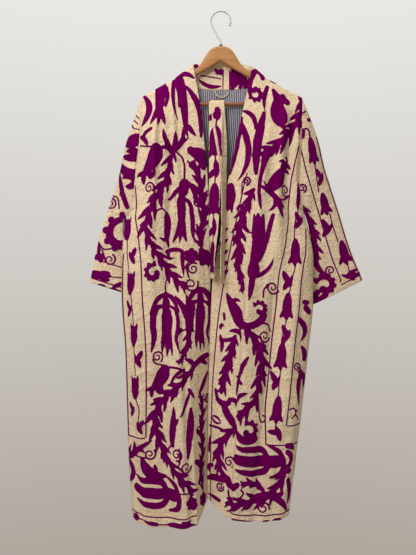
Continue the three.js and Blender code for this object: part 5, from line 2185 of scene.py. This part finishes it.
def make_belt():
    knots = np.array(BELT_PATH, float)
    run = np.concatenate([[0], np.cumsum(np.linalg.norm(np.diff(knots[:, :3], axis=0), axis=1))])
    read = curve_table("run x y z turn", [[r, *k] for r, k in zip(run, knots)])
    stations = np.unique(np.concatenate([np.arange(0, run[-1], BELT_STEP), run]))
    at = read(stations)
    centre = stack(at["x"], at["y"], at["z"])
    turn = np.radians(at["turn"])
    across = stack(np.cos(turn), np.sin(turn), 0)
    side = np.linspace(-0.5, 0.5, BELT_COLUMNS + 1) * BELT_WIDTH
    noise = soft_noise(stations / BELT_WOBBLE["length"], stations * 0, BELT_WOBBLE["seed"])
    wobble = BELT_WOBBLE["out"] * noise[:, None] * (1 - (side / BELT_WIDTH * 2) ** 2)[None]
    grid = centre[:, None, :] + across[:, None, :] * side[None, :, None]
    normals = grid_normals(grid, False)
    grid = grid + normals * wobble[..., None] * BELT_WOBBLE["share"]
    grid = grid + normals * BELT_CLOTH / 2
    flat = np.stack(np.broadcast_arrays(side[None, :], stations[:, None]), axis=-1).astype(float)
    (stitching,) = embroider(PATTERN["belt"], [stack(flat[..., 0], 0, flat[..., 1])], [flat])
    facing = 1 if normals[0, 0, 1] < 0 else -1
    piece = cloth_piece(
        "belt", grid, facing, BELT_CLOTH, [COTTON, COTTON], flat,
        stitching=stitching, free=ALL_EDGES,
    )
    finish_piece(piece, "belt")
    print("belt", round(float(run[-1])), "mm long")


make_belt()

# %% [markdown]
# ## Hanging loop, hanger and hook
# These are swept shapes: a closed outline carried along a path. Blender's curves can bevel a path. A
# helper that joins rings of points and closes both ends also sweeps the plank, whose outline changes
# along its length.

# %% Sweep rings into a solid
# How far the cloth's coordinates move from point to point round a ring, and from ring to ring.
RING_UV = 0.01
ALONG_UV = 0.02


def swept_piece(name, rings, material):
    rings = np.array(rings, float)
    m, n = rings.shape[:2]
    index = np.arange(m * n).reshape(m, n)
    nxt = np.roll(index, -1, axis=1)
    quads = np.stack([index[:-1], nxt[:-1], nxt[1:], index[1:]], axis=-1).reshape(-1, 4).tolist()
    ends = [index[0, ::-1].tolist(), index[-1].tolist()]
    mesh = bpy.data.meshes.new(name)
    mesh.from_pydata((rings.reshape(-1, 3) * MM).tolist(), [], quads + ends)
    mesh.update()
    mesh.validate()
    piece = bpy.data.objects.new(name, mesh)
    bpy.context.scene.collection.objects.link(piece)
    mesh.polygons.foreach_set("use_smooth", [len(p.vertices) == 4 for p in mesh.polygons])
    mesh.materials.append(material)
    uv = mesh.uv_layers.new(name="cloth")
    round_it, along_it = np.arange(n)[None, :] * RING_UV, np.arange(m)[:, None] * ALONG_UV
    flat = np.stack(np.broadcast_arrays(round_it, along_it), axis=-1).reshape(-1, 2)
    vertex = np.zeros(len(mesh.loops), np.int32)
    mesh.loops.foreach_get("vertex_index", vertex)
    uv.data.foreach_set("uv", flat[vertex].astype(np.float32).ravel())
    store(mesh, "stitch_depth", np.full(m * n, Stitching.FAR))
    store(mesh, "stitch_along", np.zeros(m * n))
    store(mesh, "line_gap", np.full((m * n, 3), FAR_LINE))
    finish_piece(piece, name)
    print(name, "rings:", m)


def tube_rings(centres, radii, sides):
    """Round rings across a path that lies in one upright plane."""
    centres = np.array(centres, float)
    along = np.gradient(centres, axis=0)
    along /= np.linalg.norm(along, axis=1, keepdims=True)
    out = stack(-along[:, 2], 0 * along[:, 0], along[:, 0])
    angle = np.arange(sides) / sides * 2 * np.pi
    ring = out[:, None] * np.cos(angle)[None, :, None] + np.array([0, 1, 0]) * np.sin(angle)[None, :, None]
    return centres[:, None] + ring * np.array(radii)[:, None, None]


# %% Hanging loop
LOOP = {"left_x": -15, "right_x": 21, "top_z": -206, "sag": 18, "y": 10.1, "radius": 1.5, "inset": 4}
LOOP_SIDES = 12


def make_loop():
    low = LOOP["top_z"] - LOOP["sag"]
    middle = (LOOP["left_x"] + LOOP["right_x"]) / 2
    side_z = mix(LOOP["top_z"], low, 0.6)
    knots = [
        [LOOP["left_x"], LOOP["top_z"], 1],
        [LOOP["left_x"] + LOOP["inset"], side_z, 1],
        [middle, low, 1],
        [LOOP["right_x"] - LOOP["inset"], side_z, 1],
        [LOOP["right_x"], LOOP["top_z"], 1],
    ]
    path = bend_through(knots, 12)
    centres = stack(path[:, 0], LOOP["y"], path[:, 1])
    rings = tube_rings(centres, [LOOP["radius"]] * len(centres), LOOP_SIDES)
    swept_piece("hanging_loop", rings, COTTON)


make_loop()

# %% Hanger wood
HANGER_HALF = 6
HANGER_CLEAR = 3.5
HANGER_END_X = 202
WOOD_ROUND = 7
WOOD_ROWS = [
    [0, -90, -132.5],
    [12, -92, -139],
    [25, -98, -147],
    [38, -113, -154.5],
    [48, -130, -160],
    [60, -147, -167],
    [78, -157, -177.5],
    [NECK_X, float(shoulder_z(NECK_X)) - HANGER_CLEAR, -203],
    [160, float(shoulder_z(160)) - HANGER_CLEAR, -225],
    [177, float(shoulder_z(177)) - HANGER_CLEAR, -236],
    [178, float(shoulder_z(178)) - HANGER_CLEAR, -253],
    [196, float(shoulder_z(196)) - HANGER_CLEAR, -254],
    [HANGER_END_X, float(shoulder_z(HANGER_END_X)) - HANGER_CLEAR - 4, -250],
]


def make_wood():
    read = curve_table("x top foot", WOOD_ROWS)
    half = np.unique(np.concatenate([np.arange(0, HANGER_END_X, 3.0), [177, 178, HANGER_END_X]]))
    x = np.concatenate([-half[:0:-1], half])
    at = read(np.abs(x))
    angle = np.linspace(0, np.pi, 11)
    cos, sin = np.cos(angle)[None, :], np.sin(angle)[None, :]
    top = stack(x[:, None], HANGER_HALF * cos, at["top"][:, None] + WOOD_ROUND * (sin - 1))
    foot = stack(x[:, None], -HANGER_HALF * cos, at["foot"][:, None] - WOOD_ROUND * (sin - 1))
    swept_piece("hanger_wood", np.concatenate([top, foot], axis=1), WOOD_FINISH)


make_wood()

# %% Trouser bar
BAR = {"z": -245, "radius": 5, "half": 176.6, "ease": 0.8, "ease_rings": 4, "sides": 28}


def make_bar():
    x, radius = [], []
    for k in range(BAR["ease_rings"] + 1):
        turn = k / BAR["ease_rings"] * math.pi / 2
        x.append(-BAR["half"] + BAR["ease"] * (1 - math.cos(turn)))
        radius.append(BAR["radius"] - BAR["ease"] * (1 - math.sin(turn)))
    x = x + [-v for v in x[::-1]]
    radius = radius + radius[::-1]
    angle = np.arange(BAR["sides"]) / BAR["sides"] * 2 * np.pi
    rings = [stack(xi, r * np.sin(angle), BAR["z"] + r * np.cos(angle)) for xi, r in zip(x, radius)]
    swept_piece("hanger_bar", rings, BAR_FINISH)


make_bar()

# %% Hook
HOOK_RADIUS = 26
HOOK_WIRE = 1.9
HOOK_SIDES = 20
HOOK_TURN = (214, -22)
# The ferrule in the wood as heights and radii, then the shank as x and z up to the round of the hook.
FERRULE = [[-89.6, 4.2], [-89.2, 4.6], [-85.6, 4.6], [-85.0, 4.1]]
SHANK = [[0, -84.3], [0, -79], [-1.2, -76], [-4.5, -71], [-8.5, -65], [-13, -57.5]]
BALL = {"radius": 2.6, "rings": 8, "from": 0.24, "over": 0.74, "sunk": 0.7}


def make_hook():
    centre_z = HOOK_WIRE - HOOK_RADIUS
    turn = np.radians(np.linspace(*HOOK_TURN, 60))
    ring = np.stack([HOOK_RADIUS * np.cos(turn), centre_z + HOOK_RADIUS * np.sin(turn)], axis=1)
    knots = np.array(SHANK + ring[2:].tolist())
    path = bend_through(np.c_[knots, np.ones(len(knots))], 3)[:, :2]
    centres = stack(path[:, 0], 0.0, path[:, 1])
    radii = np.full(len(centres), float(HOOK_WIRE))
    tip_out = centres[-1] - centres[-2]
    tip_out /= np.linalg.norm(tip_out)
    tip, tip_radii = [], []
    for k in range(1, BALL["rings"] + 1):
        a = math.pi * (BALL["from"] + BALL["over"] * k / BALL["rings"])
        tip.append(centres[-1] + tip_out * BALL["radius"] * (BALL["sunk"] - math.cos(a)))
        tip_radii.append(BALL["radius"] * math.sin(a))
    centres = np.concatenate([[[0, 0, z] for z, _ in FERRULE], centres, tip])
    radii = np.concatenate([[radius for _, radius in FERRULE], radii, tip_radii])
    swept_piece("hanger_hook", tube_rings(centres, radii, HOOK_SIDES), STEEL_FINISH)


make_hook()

# %% [markdown]
# ## Studio
# A plain pale room. One even background would light every fold the same from all sides. Here the
# room is darker below, at the sides and behind the camera, so lights can give a fold a shaded flank.

# %% The room
ROOM_LOW = (0.40, 0.35, 0.305, 1)
ROOM_HIGH = (0.84, 0.835, 0.81, 1)
SIDE_WALL = 0.45
FRONT_WALL = 0.55
world = bpy.data.worlds.new("pale_room")
world.use_nodes = True
bpy.context.scene.world = world
nodes, links = world.node_tree.nodes, world.node_tree.links
background = nodes["Background"]
direction = nodes.new("ShaderNodeSeparateXYZ")
links.new(nodes.new("ShaderNodeTexCoord").outputs["Generated"], direction.inputs[0])


def room_ramp(value, low, high, low_to=0.0, high_to=1.0, kind="SMOOTHSTEP"):
    node = nodes.new("ShaderNodeMapRange")
    node.interpolation_type = kind
    for socket, number in zip(("From Min", "From Max", "To Min", "To Max"), (low, high, low_to, high_to)):
        node.inputs[socket].default_value = number
    links.new(value, node.inputs["Value"])
    return node.outputs[0]


def room_math(operation, *values):
    node = nodes.new("ShaderNodeMath")
    node.operation = operation
    for socket, value in zip(node.inputs, values):
        links.new(value, socket)
    return node.outputs[0]


tone = nodes.new("ShaderNodeMix")
tone.data_type = "RGBA"
links.new(room_ramp(direction.outputs[2], -0.5, 0.5, kind="LINEAR"), tone.inputs["Factor"])
tone.inputs[6].default_value = ROOM_LOW
tone.inputs[7].default_value = ROOM_HIGH
aside = room_ramp(room_math("ABSOLUTE", direction.outputs[0]), 0.42, 0.85, 1.0, SIDE_WALL)
ahead = room_ramp(direction.outputs[1], -0.7, -0.1, FRONT_WALL, 1.0)
links.new(tone.outputs[2], background.inputs["Color"])
links.new(room_math("MULTIPLY", aside, ahead), background.inputs["Strength"])
print("room nodes:", len(nodes))

# %% [markdown]
# ### Floor
# The floor lies well below the jacket and runs on behind it. A single large face is enough.

# %% Floor
FLOOR = {"z": -1900, "half": 1500, "front": -2600, "back": 600}
FLOOR_TONES = (0.6, 0.59, 0.57, 1), (0.66, 0.65, 0.63, 1)
floor_mesh = bpy.data.meshes.new("studio_floor")
corners = [(-1, FLOOR["front"]), (1, FLOOR["front"]), (1, FLOOR["back"]), (-1, FLOOR["back"])]
floor_points = [(x * FLOOR["half"] * MM, y * MM, FLOOR["z"] * MM) for x, y in corners]
floor_mesh.from_pydata(floor_points, [], [(0, 1, 2, 3)])
floor = bpy.data.objects.new("studio_floor", floor_mesh)
bpy.context.scene.collection.objects.link(floor)
floor_finish = Finish("pale_floor", 0.8)
floor_noise = floor_finish.noise(floor_finish.add("ShaderNodeTexCoord").outputs["Object"], 3.0)
floor_finish.feed(floor_finish.shader.inputs["Base Color"], floor_finish.blend(floor_noise, *FLOOR_TONES))
floor_mesh.materials.append(floor_finish.material)
print("floor", -FLOOR["z"], "mm below the point that carries the hook")

# %% [markdown]
# ### Lights
# Large square panels give the soft shadows of daylight from windows. The strongest stands in front, to
# the left and above, a weaker one hangs overhead, and the light fades a little towards the hem.

# %% Lights
LIGHT_ROWS = [
    # name, x, y, z, size, watts, colour
    ["ceiling_panel", -250, -700, 900, 900, 12, (1.0, 0.965, 0.92)],
    ["window_left", -1300, -900, -200, 900, 3, (0.95, 0.97, 1.0)],
    ["front_panel", -900, -2100, 450, 800, 36, (1.0, 0.985, 0.96)],
    ["room_behind", 300, 1100, 500, 1200, 10, (1.0, 0.98, 0.95)],
]
AIM = Vector((0, 0, -0.62))


def add_light(name, x, y, z, size, watts, colour):
    data = bpy.data.lights.new(name, "AREA")
    data.shape = "SQUARE"
    data.size = size * MM
    data.energy = watts
    data.color = colour
    lamp = bpy.data.objects.new(name, data)
    lamp.location = Vector((x, y, z)) * MM
    lamp.rotation_euler = (AIM - lamp.location).to_track_quat("-Z", "Y").to_euler()
    bpy.context.scene.collection.objects.link(lamp)


for row in LIGHT_ROWS:
    add_light(*row)
bpy.context.scene.view_settings.view_transform = "Standard"
print("lights:", len(LIGHT_ROWS))
